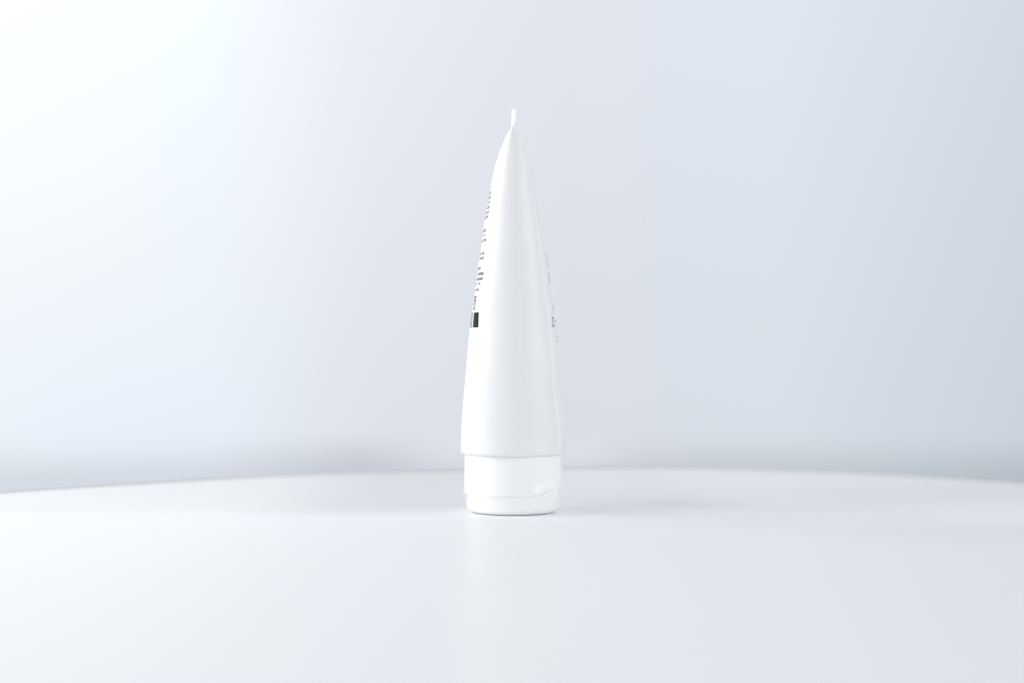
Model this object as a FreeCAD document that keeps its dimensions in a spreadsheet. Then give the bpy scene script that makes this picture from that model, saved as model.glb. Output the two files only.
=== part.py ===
import FreeCAD, Part
import math
import os

import Sketcher

V = FreeCAD.Vector

# ---------------------------------------------------------------------------
# Squeeze tube of styling cream, standing upside down on its flip-top lid.
#
# Row frame, millimetres: the origin is the centre of the lid's flat outer face,
# which rests on the table.  +Z runs up the tube to the crimped tail.  The crimp
# runs along X.  The front panel and the thumb notch face -Y, the lid's hinge
# and the back panel face +Y.
# ---------------------------------------------------------------------------

doc = FreeCAD.newDocument("styling_cream_tube")
sheet = doc.addObject("Spreadsheet::Sheet", "Dimensions")

# The sleeve is an extruded tube 40 mm across that does not stretch, so every
# section keeps the same outline length while it goes from round to flat.
SLEEVE_RADIUS = 20.0
OUTLINE = 2.0 * math.pi * SLEEVE_RADIUS


def half_width(half_thickness, ridge_radius):
    """Half width of a four-arc oval whose outline is as long as the round tube's."""

    def outline(b):
        big = ((b - ridge_radius) ** 2 + half_thickness**2 - ridge_radius**2) / (
            2.0 * (half_thickness - ridge_radius)
        )
        turn = math.atan2(b - ridge_radius, big - half_thickness)
        return 4.0 * (big * turn + ridge_radius * (math.pi / 2 - turn))

    low, high = half_thickness + 1e-6, 33.0
    for _ in range(80):
        mid = (low + high) / 2
        if outline(mid) < OUTLINE:
            low = mid
        else:
            high = mid
    return (low + high) / 2


# height, half thickness front to back, radius of the side ridge
LEVELS = [
    (34.0, 19.68, 19.36),
    (44.0, 18.97, 18.24),
    (54.0, 18.10, 17.22),
    (64.0, 17.20, 16.32),
    (75.0, 15.95, 15.08),
    (86.0, 14.40, 13.52),
    (97.0, 12.90, 11.92),
    (108.0, 11.32, 10.18),
    (118.0, 9.75, 8.42),
    (127.0, 8.13, 6.70),
    (133.5, 6.32, 4.85),
    (138.3, 4.62, 3.20),
    (141.0, 2.95, 1.85),
    (142.6, 1.42, 0.84),
    (143.6, 0.60, 0.30),
]

cells = [
    # tube
    ("SleeveRadius", SLEEVE_RADIUS),
    ("SleeveWall", 0.55),
    ("ShoulderFaceHeight", 21.6),
    ("ShoulderCorner", 1.5),
    ("RoundPartTop", 25.0),
    ("TurnedLipRadius", 17.5),
    ("CrimpHalfLength", 31.4),
    ("CrimpThickness", 1.1),
    ("CrimpFoot", 143.4),
    ("CrimpTop", 149.3),
    ("CavityTopHeight", 143.0),
    ("CavityTopHalfThickness", 0.30),
    ("CavityTopHalfWidth", 30.3),
    ("CavityTopRidge", 0.14),
    # moulded head with its neck
    ("HeadThickness", 1.5),
    ("NeckRadius", 9.0),
    ("NeckBore", 7.0),
    ("NeckEndHeight", 7.9),
    ("NeckBeadRadius", 9.45),
    ("NeckBeadHeight", 13.2),
    ("HeadRimRadius", 18.4),
    # cream
    ("CreamGap", 0.15),
    # cap base
    ("SkirtTopRadius", 18.45),
    ("SkirtFootRadius", 18.58),
    ("SkirtInside", 16.9),
    ("SkirtTopHeight", 21.5),
    ("SkirtFootHeight", 7.2),
    ("DeckTopHeight", 7.9),
    ("PlateauRadius", 16.7),
    ("PlateauHeight", 6.4),
    ("CollarOutside", 10.5),
    ("CollarInside", 9.55),
    ("CollarTopHeight", 16.2),
    ("CollarBead", 9.12),
    ("SpoutTipHeight", 3.4),
    ("SpoutTipRadius", 3.1),
    ("SpoutRootRadius", 3.7),
    ("OrificeRadius", 2.0),
    # thumb notch in the skirt
    ("NotchHalfWidth", 16.6),
    ("NotchSideTop", 10.9),
    ("NotchCornerWidth", 15.5),
    ("NotchCornerTop", 12.0),
    ("NotchScoopWidth", 8.5),
    ("NotchScoopFoot", 13.3),
    ("NotchTop", 15.8),
    ("NotchFootRadius", 17.42),
    ("NotchTopRadius", 18.56),
    # lid
    ("LidRimHeight", 7.1),
    ("LidRimRadius", 18.35),
    ("LidWaistRadius", 17.66),
    ("LidCornerHeight", 3.2),
    ("LidFootRadius", 14.4),
    ("LidInsideRim", 17.15),
    ("LidInsideWaist", 16.45),
    ("LidFloor", 1.3),
    ("LidInsideCorner", 3.3),
    ("LidInsideFoot", 14.4),
    ("PinRadius", 1.6),
    ("PinTipRadius", 1.25),
    ("PinTipHeight", 4.6),
    ("LipTop", 8.3),
    ("LipHalfWidth", 13.1),
    ("LipInside", 17.8),
    ("LipOutside", 18.32),
    # hinge
    ("PivotDepth", 18.95),
    ("PivotHeight", 7.15),
    ("FilmRadius", 0.16),
    ("TabHalfWidth", 5.3),
    ("TabFace", 18.9),
    ("BaseTabFoot", 7.27),
    ("LidTabTop", 6.95),
    ("HingePocketHalfWidth", 6.1),
    ("HingePocketRadius", 17.75),
    ("HingePocketFoot", 5.0),
    ("HingePocketTop", 8.9),
]
for n, (height, thick, ridge) in enumerate(LEVELS, 1):
    cells += [
        ("Level%02dHeight" % n, height),
        ("Level%02dHalfThickness" % n, thick),
        ("Level%02dRidge" % n, ridge),
        ("Level%02dHalfWidth" % n, round(half_width(thick, ridge), 4)),
    ]
size = {}
for row, (alias, value) in enumerate(cells, 1):
    sheet.set("A%d" % row, alias)
    sheet.set("B%d" % row, "%.4f" % value)
    sheet.setAlias("B%d" % row, alias)
    size[alias] = float("%.4f" % value)
doc.recompute()


def D(alias):
    return "Dimensions." + alias


def origin_plane(body, role):
    for feature in body.Origin.OriginFeatures:
        if feature.Role == role:
            return feature
    raise RuntimeError(role)


def attach(sketch, body, role, offset=None):
    sketch.AttachmentSupport = [(origin_plane(body, role), "")]
    sketch.MapMode = "FlatFace"
    if offset is not None:
        sketch.AttachmentOffset = FreeCAD.Placement(V(0, 0, offset[0]), FreeCAD.Rotation())
        sketch.setExpression("AttachmentOffset.Base.z", offset[1])


def name_constraint(sketch, constraint, name, expression):
    index = sketch.addConstraint(constraint)
    sketch.renameConstraint(index, name)
    sketch.setExpression("Constraints." + name, expression)


# ---------------------------------------------------------------------------
# Sections of the sleeve: four tangent arcs, or the same four arcs of a circle.
# ---------------------------------------------------------------------------
def oval(body, name, height, half_thick, half_wide, ridge, inset, exprs):
    """Closed oval in a plane across the tube.  exprs: height, thickness, width, ridge."""
    sketch = body.newObject("Sketcher::SketchObject", name)
    attach(sketch, body, "XY_Plane", (height, exprs[0]))
    big = ((half_wide - ridge) ** 2 + half_thick**2 - ridge**2) / (2 * (half_thick - ridge))
    turn = math.atan2(half_wide - ridge, big - half_thick)
    flat = math.pi / 2 - turn
    up = V(0, 0, 1)
    reach = half_wide - ridge
    drop = big - half_thick
    small, large = ridge - inset, big - inset
    sketch.addGeometry(
        [
            Part.ArcOfCircle(Part.Circle(V(reach, 0, 0), up, small), -flat, flat),
            Part.ArcOfCircle(Part.Circle(V(0, -drop, 0), up, large), flat, math.pi - flat),
            Part.ArcOfCircle(Part.Circle(V(-reach, 0, 0), up, small), math.pi - flat, math.pi + flat),
            Part.ArcOfCircle(Part.Circle(V(0, drop, 0), up, large), math.pi + flat, 2 * math.pi - flat),
        ],
        False,
    )
    add = sketch.addConstraint
    add(Sketcher.Constraint("Tangent", 0, 2, 1, 1))
    add(Sketcher.Constraint("Coincident", 1, 2, 2, 1))
    add(Sketcher.Constraint("Coincident", 2, 2, 3, 1))
    add(Sketcher.Constraint("Coincident", 3, 2, 0, 1))
    add(Sketcher.Constraint("Symmetric", 1, 1, 1, 2, -2))
    add(Sketcher.Constraint("Symmetric", 0, 1, 0, 2, -1))
    add(Sketcher.Constraint("Symmetric", 3, 1, 3, 2, -2))
    add(Sketcher.Constraint("Equal", 0, 2))
    add(Sketcher.Constraint("Equal", 1, 3))
    cut = " - " + exprs[4] if exprs[4] else ""
    name_constraint(sketch, Sketcher.Constraint("Radius", 0, small), "RidgeRadius", exprs[3] + cut)
    name_constraint(
        sketch,
        Sketcher.Constraint("DistanceX", -1, 1, 0, 3, reach),
        "RidgeReach",
        "%s - %s" % (exprs[2], exprs[3]),
    )
    name_constraint(
        sketch,
        Sketcher.Constraint("Radius", 1, large),
        "PanelRadius",
        "((%s - %s)^2 + (%s)^2 - (%s)^2) / (2 * (%s - %s))%s"
        % (exprs[2], exprs[3], exprs[1], exprs[3], exprs[1], exprs[3], cut),
    )
    return sketch


def level_oval(body, name, n, inset=0.0, cut=""):
    tag = "Level%02d" % n
    return oval(
        body,
        name,
        size[tag + "Height"],
        size[tag + "HalfThickness"],
        size[tag + "HalfWidth"],
        size[tag + "Ridge"],
        inset,
        [D(tag + "Height"), D(tag + "HalfThickness"), D(tag + "HalfWidth"), D(tag + "Ridge"), cut],
    )


def round_section(body, name, height, radius, height_expr, radius_expr):
    """Four quarter arcs of one circle, split on the diagonals like the ovals."""
    sketch = body.newObject("Sketcher::SketchObject", name)
    attach(sketch, body, "XY_Plane", (height, height_expr))
    up = V(0, 0, 1)
    quarter = math.pi / 4
    sketch.addGeometry(
        [
            Part.ArcOfCircle(Part.Circle(V(0, 0, 0), up, radius), (2 * k - 1) * quarter, (2 * k + 1) * quarter)
            for k in range(4)
        ],
        False,
    )
    sketch.addGeometry(
        [
            Part.LineSegment(V(-30, -30, 0), V(30, 30, 0)),
            Part.LineSegment(V(30, -30, 0), V(-30, 30, 0)),
        ],
        True,
    )
    add = sketch.addConstraint
    for k in range(4):
        add(Sketcher.Constraint("Coincident", k, 3, -1, 1))
    for k in range(1, 4):
        add(Sketcher.Constraint("Equal", 0, k))
    for line, sx in ((4, 1), (5, -1)):
        add(Sketcher.Constraint("Symmetric", line, 1, line, 2, -1, 1))
        add(Sketcher.Constraint("DistanceX", -1, 1, line, 2, 30 * sx))
        add(Sketcher.Constraint("DistanceY", -1, 1, line, 2, 30))
    for k, (first, last) in enumerate(((5, 4), (4, 5), (5, 4), (4, 5))):
        add(Sketcher.Constraint("PointOnObject", k, 1, first))
        add(Sketcher.Constraint("PointOnObject", k, 2, last))
    name_constraint(sketch, Sketcher.Constraint("Radius", 0, radius), "Radius", radius_expr)
    return sketch


# ---------------------------------------------------------------------------
# Half sections: closed outlines in the XZ plane, drawn from points whose two
# coordinates are bound to the sheet, with straight sides or arcs.
# ---------------------------------------------------------------------------
def evaluate(expression):
    """The value of a small expression in sheet aliases, for a sketch's first drawing."""
    total, sign = 0.0, 1.0
    for word in expression.replace("+", " + ").replace("- ", " - ").split():
        if word == "+":
            sign = 1.0
        elif word == "-":
            sign = -1.0
        else:
            negative = word.startswith("-")
            word = word.lstrip("-")
            value = size[word] if word in size else float(word)
            total += sign * (-value if negative else value)
            sign = 1.0
    return total


def spelled(expression):
    words = []
    for word in expression.replace("+", " + ").replace("- ", " - ").split():
        bare = word.lstrip("-")
        words.append(("-" if word.startswith("-") else "") + (D(bare) if bare in size else bare))
    return " ".join(words)


outlines = []


def outline(parent, name, points, arcs=None, role="XZ_Plane", offset=None):
    """points: (across, along) expressions.  arcs: {index of the side: bulge point}."""
    arcs = arcs or {}
    if parent is None:
        sketch = doc.addObject("Sketcher::SketchObject", name)
        turn = {
            "XZ_Plane": FreeCAD.Rotation(V(1, 0, 0), 90),
            "YZ_Plane": FreeCAD.Rotation(V(1, 1, 1), 120),
            "XY_Plane": FreeCAD.Rotation(),
        }[role]
        sketch.Placement = FreeCAD.Placement(V(0, 0, 0), turn)
    else:
        sketch = parent.newObject("Sketcher::SketchObject", name)
        attach(sketch, parent, role, offset)
    at = [V(evaluate(x), evaluate(y), 0) for x, y in points]
    count = len(at)
    ends = []
    centres = {}
    for k in range(count):
        a, b = at[k], at[(k + 1) % count]
        if k in arcs:
            middle = V(arcs[k][0], arcs[k][1], 0)
            circle = Part.Arc(a, middle, b).toShape().Curve
            centre, radius = V(circle.Center.x, circle.Center.y, 0), circle.Radius
            angles = [math.atan2(p.y - centre.y, p.x - centre.x) for p in (a, middle, b)]
            full = 2 * math.pi
            to_middle, to_end = (angles[1] - angles[0]) % full, (angles[2] - angles[0]) % full
            forward = to_middle < to_end
            first, last = (angles[0], angles[2]) if forward else (angles[2], angles[0])
            if last < first:
                last += full
            sketch.addGeometry(Part.ArcOfCircle(Part.Circle(centre, V(0, 0, 1), radius), first, last), False)
            ends.append((1, 2) if forward else (2, 1))
            centres[k] = centre
        else:
            sketch.addGeometry(Part.LineSegment(a, b), False)
            ends.append((1, 2))
    for k in range(count):
        sketch.addConstraint(
            Sketcher.Constraint("Coincident", k, ends[k][1], (k + 1) % count, ends[(k + 1) % count][0])
        )
    for k, (x, y) in enumerate(points):
        pos = ends[k][0]
        for kind, text, letter in (("DistanceX", x, "X"), ("DistanceY", y, "Y")):
            value = evaluate(text)
            if abs(value) < 1e-9:
                axis = -2 if kind == "DistanceX" else -1
                sketch.addConstraint(Sketcher.Constraint("PointOnObject", k, pos, axis))
            else:
                name_constraint(
                    sketch,
                    Sketcher.Constraint(kind, -1, 1, k, pos, value),
                    "Point%02d%s" % (k + 1, letter),
                    spelled(text),
                )
    for k, centre in centres.items():
        # the centre lies on the chord's bisector, so one coordinate places it
        chord = at[(k + 1) % count] - at[k]
        if abs(chord.x) > abs(chord.y):
            kind, value = "DistanceY", centre.y
        else:
            kind, value = "DistanceX", centre.x
        if abs(value) < 1e-9:
            sketch.addConstraint(Sketcher.Constraint("PointOnObject", k, 3, -1 if kind == "DistanceY" else -2))
        else:
            index = sketch.addConstraint(Sketcher.Constraint(kind, -1, 1, k, 3, value))
            sketch.renameConstraint(index, "Centre%02d" % (k + 1))
    outlines.append((sketch, [(k, ends[k][0], at[k]) for k in range(count)], dict(centres)))
    return sketch


def revolve(body, name, sketch):
    feature = body.newObject("PartDesign::Revolution", name)
    feature.Profile = sketch
    feature.ReferenceAxis = (sketch, ["V_Axis"])
    feature.Angle = 360.0
    return feature


def loft(body, name, kind, sections):
    feature = body.newObject("PartDesign::" + kind, name)
    feature.Profile = sections[0]
    feature.Sections = [(item, [""]) for item in sections[1:]]
    feature.Ruled = False
    feature.Closed = False
    return feature


def on_arc(cx, cy, radius, degrees):
    return (cx + radius * math.cos(math.radians(degrees)), cy + radius * math.sin(math.radians(degrees)))


# ---------------------------------------------------------------------------
# tube_sleeve: extruded plastic sleeve.  Round at the shoulder, where its end is
# turned in over the head, and pressed flat and welded at the tail.
# ---------------------------------------------------------------------------
sleeve = doc.addObject("PartDesign::Body", "tube_sleeve")
sleeve.Label = "tube_sleeve"
corner_x = size["SleeveRadius"] - size["ShoulderCorner"]
corner_z = size["ShoulderFaceHeight"] + size["ShoulderCorner"]
ring = outline(
    sleeve,
    "SleeveEndSection",
    [
        ("TurnedLipRadius", "ShoulderFaceHeight"),
        ("SleeveRadius - ShoulderCorner", "ShoulderFaceHeight"),
        ("SleeveRadius", "ShoulderFaceHeight + ShoulderCorner"),
        ("SleeveRadius", "RoundPartTop"),
        ("SleeveRadius - SleeveWall", "RoundPartTop"),
        ("SleeveRadius - SleeveWall", "ShoulderFaceHeight + ShoulderCorner"),
        ("SleeveRadius - ShoulderCorner", "ShoulderFaceHeight + SleeveWall"),
        ("TurnedLipRadius", "ShoulderFaceHeight + SleeveWall"),
    ],
    {
        1: on_arc(corner_x, corner_z, size["ShoulderCorner"], -45),
        5: on_arc(corner_x, corner_z, size["ShoulderCorner"] - size["SleeveWall"], -45),
    },
)
revolve(sleeve, "SleeveEnd", ring)
doc.recompute()
outer = [
    round_section(sleeve, "SleeveRound", size["RoundPartTop"], size["SleeveRadius"], D("RoundPartTop"), D("SleeveRadius"))
]
for n in range(1, len(LEVELS) + 1):
    outer.append(level_oval(sleeve, "SleeveLevel%02d" % n, n))
loft(sleeve, "SleeveSkin", "AdditiveLoft", outer)
doc.recompute()
crimp_foot = sleeve.newObject("Sketcher::SketchObject", "CrimpOutline")
attach(crimp_foot, sleeve, "XY_Plane", (size["CrimpFoot"], D("CrimpFoot")))
cx, cy = size["CrimpHalfLength"], size["CrimpThickness"] / 2
crimp_foot.addGeometry(
    [
        Part.LineSegment(V(-cx, -cy, 0), V(cx, -cy, 0)),
        Part.LineSegment(V(cx, -cy, 0), V(cx, cy, 0)),
        Part.LineSegment(V(cx, cy, 0), V(-cx, cy, 0)),
        Part.LineSegment(V(-cx, cy, 0), V(-cx, -cy, 0)),
    ],
    False,
)
for k in range(4):
    crimp_foot.addConstraint(Sketcher.Constraint("Coincident", k, 2, (k + 1) % 4, 1))
crimp_foot.addConstraint(Sketcher.Constraint("Horizontal", 0))
crimp_foot.addConstraint(Sketcher.Constraint("Vertical", 1))
crimp_foot.addConstraint(Sketcher.Constraint("Symmetric", 0, 1, 2, 1, -1, 1))
crimp_foot.addConstraint(Sketcher.Constraint("Vertical", 3))
name_constraint(crimp_foot, Sketcher.Constraint("DistanceX", 0, 1, 0, 2, 2 * cx), "Length", "2 * " + D("CrimpHalfLength"))
name_constraint(crimp_foot, Sketcher.Constraint("DistanceY", 1, 1, 1, 2, 2 * cy), "Thickness", D("CrimpThickness"))
crimp = sleeve.newObject("PartDesign::Pad", "Crimp")
crimp.Profile = crimp_foot
crimp.Length = size["CrimpTop"] - size["CrimpFoot"]
crimp.setExpression("Length", D("CrimpTop") + " - " + D("CrimpFoot"))
doc.recompute()
solid_volume = crimp.Shape.Volume
inner = [
    round_section(
        sleeve,
        "CavityRound",
        size["RoundPartTop"],
        size["SleeveRadius"] - size["SleeveWall"],
        D("RoundPartTop"),
        D("SleeveRadius") + " - " + D("SleeveWall"),
    )
]
for n in range(1, len(LEVELS)):
    inner.append(level_oval(sleeve, "CavityLevel%02d" % n, n, size["SleeveWall"], D("SleeveWall")))
inner.append(
    oval(
        sleeve,
        "CavityTop",
        size["CavityTopHeight"],
        size["CavityTopHalfThickness"],
        size["CavityTopHalfWidth"],
        size["CavityTopRidge"],
        0.0,
        [
            D("CavityTopHeight"),
            D("CavityTopHalfThickness"),
            D("CavityTopHalfWidth"),
            D("CavityTopRidge"),
            "",
        ],
    )
)
cavity = loft(sleeve, "Cavity", "SubtractiveLoft", inner)
doc.recompute()
print("sleeve volume before and after the cavity", solid_volume, cavity.Shape.Volume)
if cavity.Shape.Volume > 0.2 * solid_volume:
    raise RuntimeError("the cavity did not cut")

# ---------------------------------------------------------------------------
# tube_head: moulded shoulder disc with the rim that the sleeve is welded to and
# the neck, which carries a bead that the cap snaps over.
# ---------------------------------------------------------------------------
head = doc.addObject("PartDesign::Body", "tube_head")
head.Label = "tube_head"
head_section = outline(
    head,
    "HeadSection",
    [
        ("NeckBore", "NeckEndHeight"),
        ("NeckRadius", "NeckEndHeight"),
        ("NeckRadius", "NeckBeadHeight"),
        ("NeckBeadRadius", "NeckBeadHeight + 0.5"),
        ("NeckBeadRadius", "NeckBeadHeight + 1.1"),
        ("NeckRadius", "NeckBeadHeight + 1.4"),
        ("NeckRadius", "ShoulderFaceHeight"),
        ("TurnedLipRadius", "ShoulderFaceHeight"),
        ("TurnedLipRadius", "ShoulderFaceHeight + SleeveWall"),
        ("SleeveRadius - ShoulderCorner", "ShoulderFaceHeight + SleeveWall"),
        ("SleeveRadius - SleeveWall", "ShoulderFaceHeight + ShoulderCorner"),
        ("SleeveRadius - SleeveWall", "RoundPartTop"),
        ("SleeveRadius - SleeveWall - 0.5", "RoundPartTop"),
        ("HeadRimRadius", "ShoulderFaceHeight + HeadThickness"),
        ("NeckBore", "ShoulderFaceHeight + HeadThickness"),
    ],
    {9: on_arc(corner_x, corner_z, size["ShoulderCorner"] - size["SleeveWall"], -45)},
)
revolve(head, "Head", head_section)
doc.recompute()

# ---------------------------------------------------------------------------
# cream_fill: the cream, about 100 ml, which fills the neck and the sleeve up to
# the ninth level and leaves the usual headspace below the crimp.
# ---------------------------------------------------------------------------
cream = doc.addObject("PartDesign::Body", "cream_fill")
cream.Label = "cream_fill"
gap = size["CreamGap"]
column = outline(
    cream,
    "CreamColumn",
    [
        ("0", "NeckEndHeight"),
        ("NeckBore - 0.1", "NeckEndHeight"),
        ("NeckBore - 0.1", "ShoulderFaceHeight + HeadThickness + CreamGap"),
        ("HeadRimRadius - CreamGap", "ShoulderFaceHeight + HeadThickness + CreamGap"),
        ("HeadRimRadius - CreamGap", "RoundPartTop + 1.5"),
        ("0", "RoundPartTop + 1.5"),
    ],
)
revolve(cream, "CreamFoot", column)
doc.recompute()
depth = size["SleeveWall"] + gap
cut = "(" + D("SleeveWall") + " + " + D("CreamGap") + ")"
mass = [
    round_section(
        cream,
        "CreamRound",
        size["RoundPartTop"] + gap,
        size["SleeveRadius"] - depth,
        D("RoundPartTop") + " + " + D("CreamGap"),
        D("SleeveRadius") + " - " + cut,
    )
]
for n in range(1, 10):
    mass.append(level_oval(cream, "CreamLevel%02d" % n, n, depth, cut))
loft(cream, "CreamMass", "AdditiveLoft", mass)
doc.recompute()

# ---------------------------------------------------------------------------
# cap_base: the fixed half of the flip-top cap.  A turned section, cut back at
# the front for the thumb, with the hinge tab and its film at the back.
# ---------------------------------------------------------------------------
base_section = outline(
    None,
    "CapBaseSection",
    [
        ("OrificeRadius", "SpoutTipHeight"),
        ("SpoutTipRadius - 0.3", "SpoutTipHeight"),
        ("SpoutTipRadius", "SpoutTipHeight + 0.3"),
        ("SpoutRootRadius", "PlateauHeight"),
        ("PlateauRadius - 0.3", "PlateauHeight"),
        ("PlateauRadius", "PlateauHeight + 0.3"),
        ("PlateauRadius", "SkirtFootHeight"),
        ("SkirtFootRadius - 0.12", "SkirtFootHeight"),
        ("SkirtFootRadius", "SkirtFootHeight + 0.12"),
        ("SkirtTopRadius", "SkirtTopHeight - 0.3"),
        ("SkirtTopRadius - 0.3", "SkirtTopHeight"),
        ("SkirtInside", "SkirtTopHeight"),
        ("SkirtInside", "DeckTopHeight + 1.1"),
        ("SkirtInside - 1.1", "DeckTopHeight"),
        ("CollarOutside + 0.3", "DeckTopHeight"),
        ("CollarOutside", "CollarTopHeight"),
        ("CollarBead + 0.35", "CollarTopHeight"),
        ("CollarBead", "CollarTopHeight - 0.5"),
        ("CollarBead", "CollarTopHeight - 1.1"),
        ("CollarInside", "CollarTopHeight - 1.4"),
        ("CollarInside", "DeckTopHeight"),
        ("OrificeRadius", "DeckTopHeight"),
    ],
    {
        9: on_arc(size["SkirtTopRadius"] - 0.3, size["SkirtTopHeight"] - 0.3, 0.3, 45),
        12: on_arc(size["SkirtInside"] - 1.1, size["DeckTopHeight"] + 1.1, 1.1, -45),
    },
)


def part_revolution(name, sketch):
    feature = doc.addObject("Part::Revolution", name)
    feature.Source = sketch
    feature.Axis = V(0, 0, 1)
    feature.Base = V(0, 0, 0)
    feature.Angle = 360.0
    feature.Solid = True
    return feature


def part_extrusion(name, sketch, axis, length, expr):
    feature = doc.addObject("Part::Extrusion", name)
    feature.Base = sketch
    feature.DirMode = "Custom"
    feature.Dir = axis
    feature.Solid = True
    feature.LengthFwd = length
    feature.setExpression("LengthFwd", expr)
    return feature


def cylinder(name, radius, height, foot, exprs):
    feature = doc.addObject("Part::Cylinder", name)
    feature.Radius, feature.Height = radius, height
    feature.Placement = FreeCAD.Placement(V(0, 0, foot), FreeCAD.Rotation())
    feature.setExpression("Radius", exprs[0])
    feature.setExpression("Height", exprs[1])
    feature.setExpression("Placement.Base.z", exprs[2])
    return feature


def pair(kind, name, first, second):
    feature = doc.addObject("Part::" + kind, name)
    feature.Base, feature.Tool = first, second
    return feature


base_turned = part_revolution("CapBaseTurned", base_section)

# Thumb notch: an arch seen from the front, whose floor slopes in towards the
# lid like the side of a cone.
arch = outline(
    None,
    "NotchArch",
    [
        ("-NotchHalfWidth", "SkirtFootHeight - 1"),
        ("NotchHalfWidth", "SkirtFootHeight - 1"),
        ("NotchHalfWidth", "NotchSideTop"),
        ("NotchCornerWidth", "NotchCornerTop"),
        ("NotchScoopWidth", "NotchScoopFoot"),
        ("-NotchScoopWidth", "NotchScoopFoot"),
        ("-NotchCornerWidth", "NotchCornerTop"),
        ("-NotchHalfWidth", "NotchSideTop"),
    ],
    {
        2: on_arc(size["NotchHalfWidth"] - 1.1, size["NotchSideTop"], 1.1, 42),
        4: (0.0, size["NotchTop"]),
        6: on_arc(-size["NotchHalfWidth"] + 1.1, size["NotchSideTop"], 1.1, 138),
    },
)
arch_block = part_extrusion("NotchBlock", arch, V(0, -1, 0), 30.0, "1.5 * " + D("SleeveRadius"))
floor_cone = doc.addObject("Part::Cone", "NotchFloor")
floor_cone.Radius1, floor_cone.Radius2 = size["NotchFootRadius"], size["NotchTopRadius"]
floor_cone.Height = size["NotchTop"] - size["SkirtFootHeight"]
floor_cone.Placement = FreeCAD.Placement(V(0, 0, size["SkirtFootHeight"]), FreeCAD.Rotation())
floor_cone.setExpression("Radius1", D("NotchFootRadius"))
floor_cone.setExpression("Radius2", D("NotchTopRadius"))
floor_cone.setExpression("Height", D("NotchTop") + " - " + D("SkirtFootHeight"))
floor_cone.setExpression("Placement.Base.z", D("SkirtFootHeight"))
plateau_core = cylinder(
    "PlateauCore",
    size["PlateauRadius"],
    2.0,
    size["SkirtFootHeight"] - 1.5,
    (D("PlateauRadius"), "2", D("SkirtFootHeight") + " - 1.5"),
)
notch_core = pair("Fuse", "NotchCore", floor_cone, plateau_core)
notch = pair("Cut", "ThumbNotch", arch_block, notch_core)
base_notched = pair("Cut", "CapBaseNotched", base_turned, notch)

# Hinge pocket: a shallow recess across the split at the back, shared by the
# base and the lid, in which the hinge tabs stand.
pocket_outline = outline(
    None,
    "HingePocketOutline",
    [
        ("-HingePocketHalfWidth", "HingePocketFoot"),
        ("HingePocketHalfWidth", "HingePocketFoot"),
        ("HingePocketHalfWidth", "HingePocketTop"),
        ("-HingePocketHalfWidth", "HingePocketTop"),
    ],
)
pocket_block = part_extrusion("HingePocketBlock", pocket_outline, V(0, 1, 0), 30.0, "1.5 * " + D("SleeveRadius"))
pocket_core = cylinder(
    "HingePocketFloor",
    size["HingePocketRadius"],
    12.0,
    1.0,
    (D("HingePocketRadius"), "12", "1"),
)
pocket = pair("Cut", "HingePocket", pocket_block, pocket_core)
base_pocketed = pair("Cut", "CapBasePocketed", base_notched, pocket)

tab_base = outline(
    None,
    "BaseTabSection",
    [
        ("SkirtInside - 0.6", "BaseTabFoot"),
        ("TabFace", "BaseTabFoot"),
        ("TabFace", "BaseTabFoot + 0.25"),
        ("SkirtFootRadius - 0.35", "HingePocketTop + 0.4"),
        ("SkirtInside - 0.6", "HingePocketTop + 0.4"),
    ],
    role="YZ_Plane",
)
tab_base_block = doc.addObject("Part::Extrusion", "BaseTabBlock")
tab_base_block.Base = tab_base
tab_base_block.DirMode = "Custom"
tab_base_block.Dir = V(1, 0, 0)
tab_base_block.Solid = True
tab_base_block.LengthFwd = size["TabHalfWidth"]
tab_base_block.LengthRev = size["TabHalfWidth"]
tab_base_block.setExpression("LengthFwd", D("TabHalfWidth"))
tab_base_block.setExpression("LengthRev", D("TabHalfWidth"))
tab_base_core = cylinder("BaseTabCore", size["SkirtInside"] + 0.1, 14.0, 1.0, (D("SkirtInside") + " + 0.1", "14", "1"))
base_tab = pair("Cut", "BaseTab", tab_base_block, tab_base_core)
film = doc.addObject("Part::Cylinder", "HingeFilm")
film.Radius = size["FilmRadius"]
film.Height = 2 * size["TabHalfWidth"]
film.Placement = FreeCAD.Placement(
    V(-size["TabHalfWidth"], size["PivotDepth"], size["PivotHeight"]), FreeCAD.Rotation(V(0, 1, 0), 90)
)
film.setExpression("Radius", D("FilmRadius"))
film.setExpression("Height", "2 * " + D("TabHalfWidth"))
film.setExpression("Placement.Base.x", "-" + D("TabHalfWidth"))
film.setExpression("Placement.Base.y", D("PivotDepth"))
film.setExpression("Placement.Base.z", D("PivotHeight"))
hinge_half = pair("Fuse", "BaseHingeHalf", base_tab, film)
cap_base = pair("Fuse", "CapBase", base_pocketed, hinge_half)
cap_base.Label = "cap_base"
doc.recompute()

# ---------------------------------------------------------------------------
# cap_lid: shallow dish that the tube stands on, with a sealing pin for the
# orifice, a lip for the thumb at the front and the hinge tab at the back.
# ---------------------------------------------------------------------------
def corner_bulge(ax, az, bx, bz, bulge):
    """A point beside the middle of a chord, for a corner that is not a quarter circle."""
    mx, mz = (ax + bx) / 2, (az + bz) / 2
    dx, dz = bx - ax, bz - az
    length = math.hypot(dx, dz)
    return (mx + bulge * dz / length, mz - bulge * dx / length)


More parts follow.
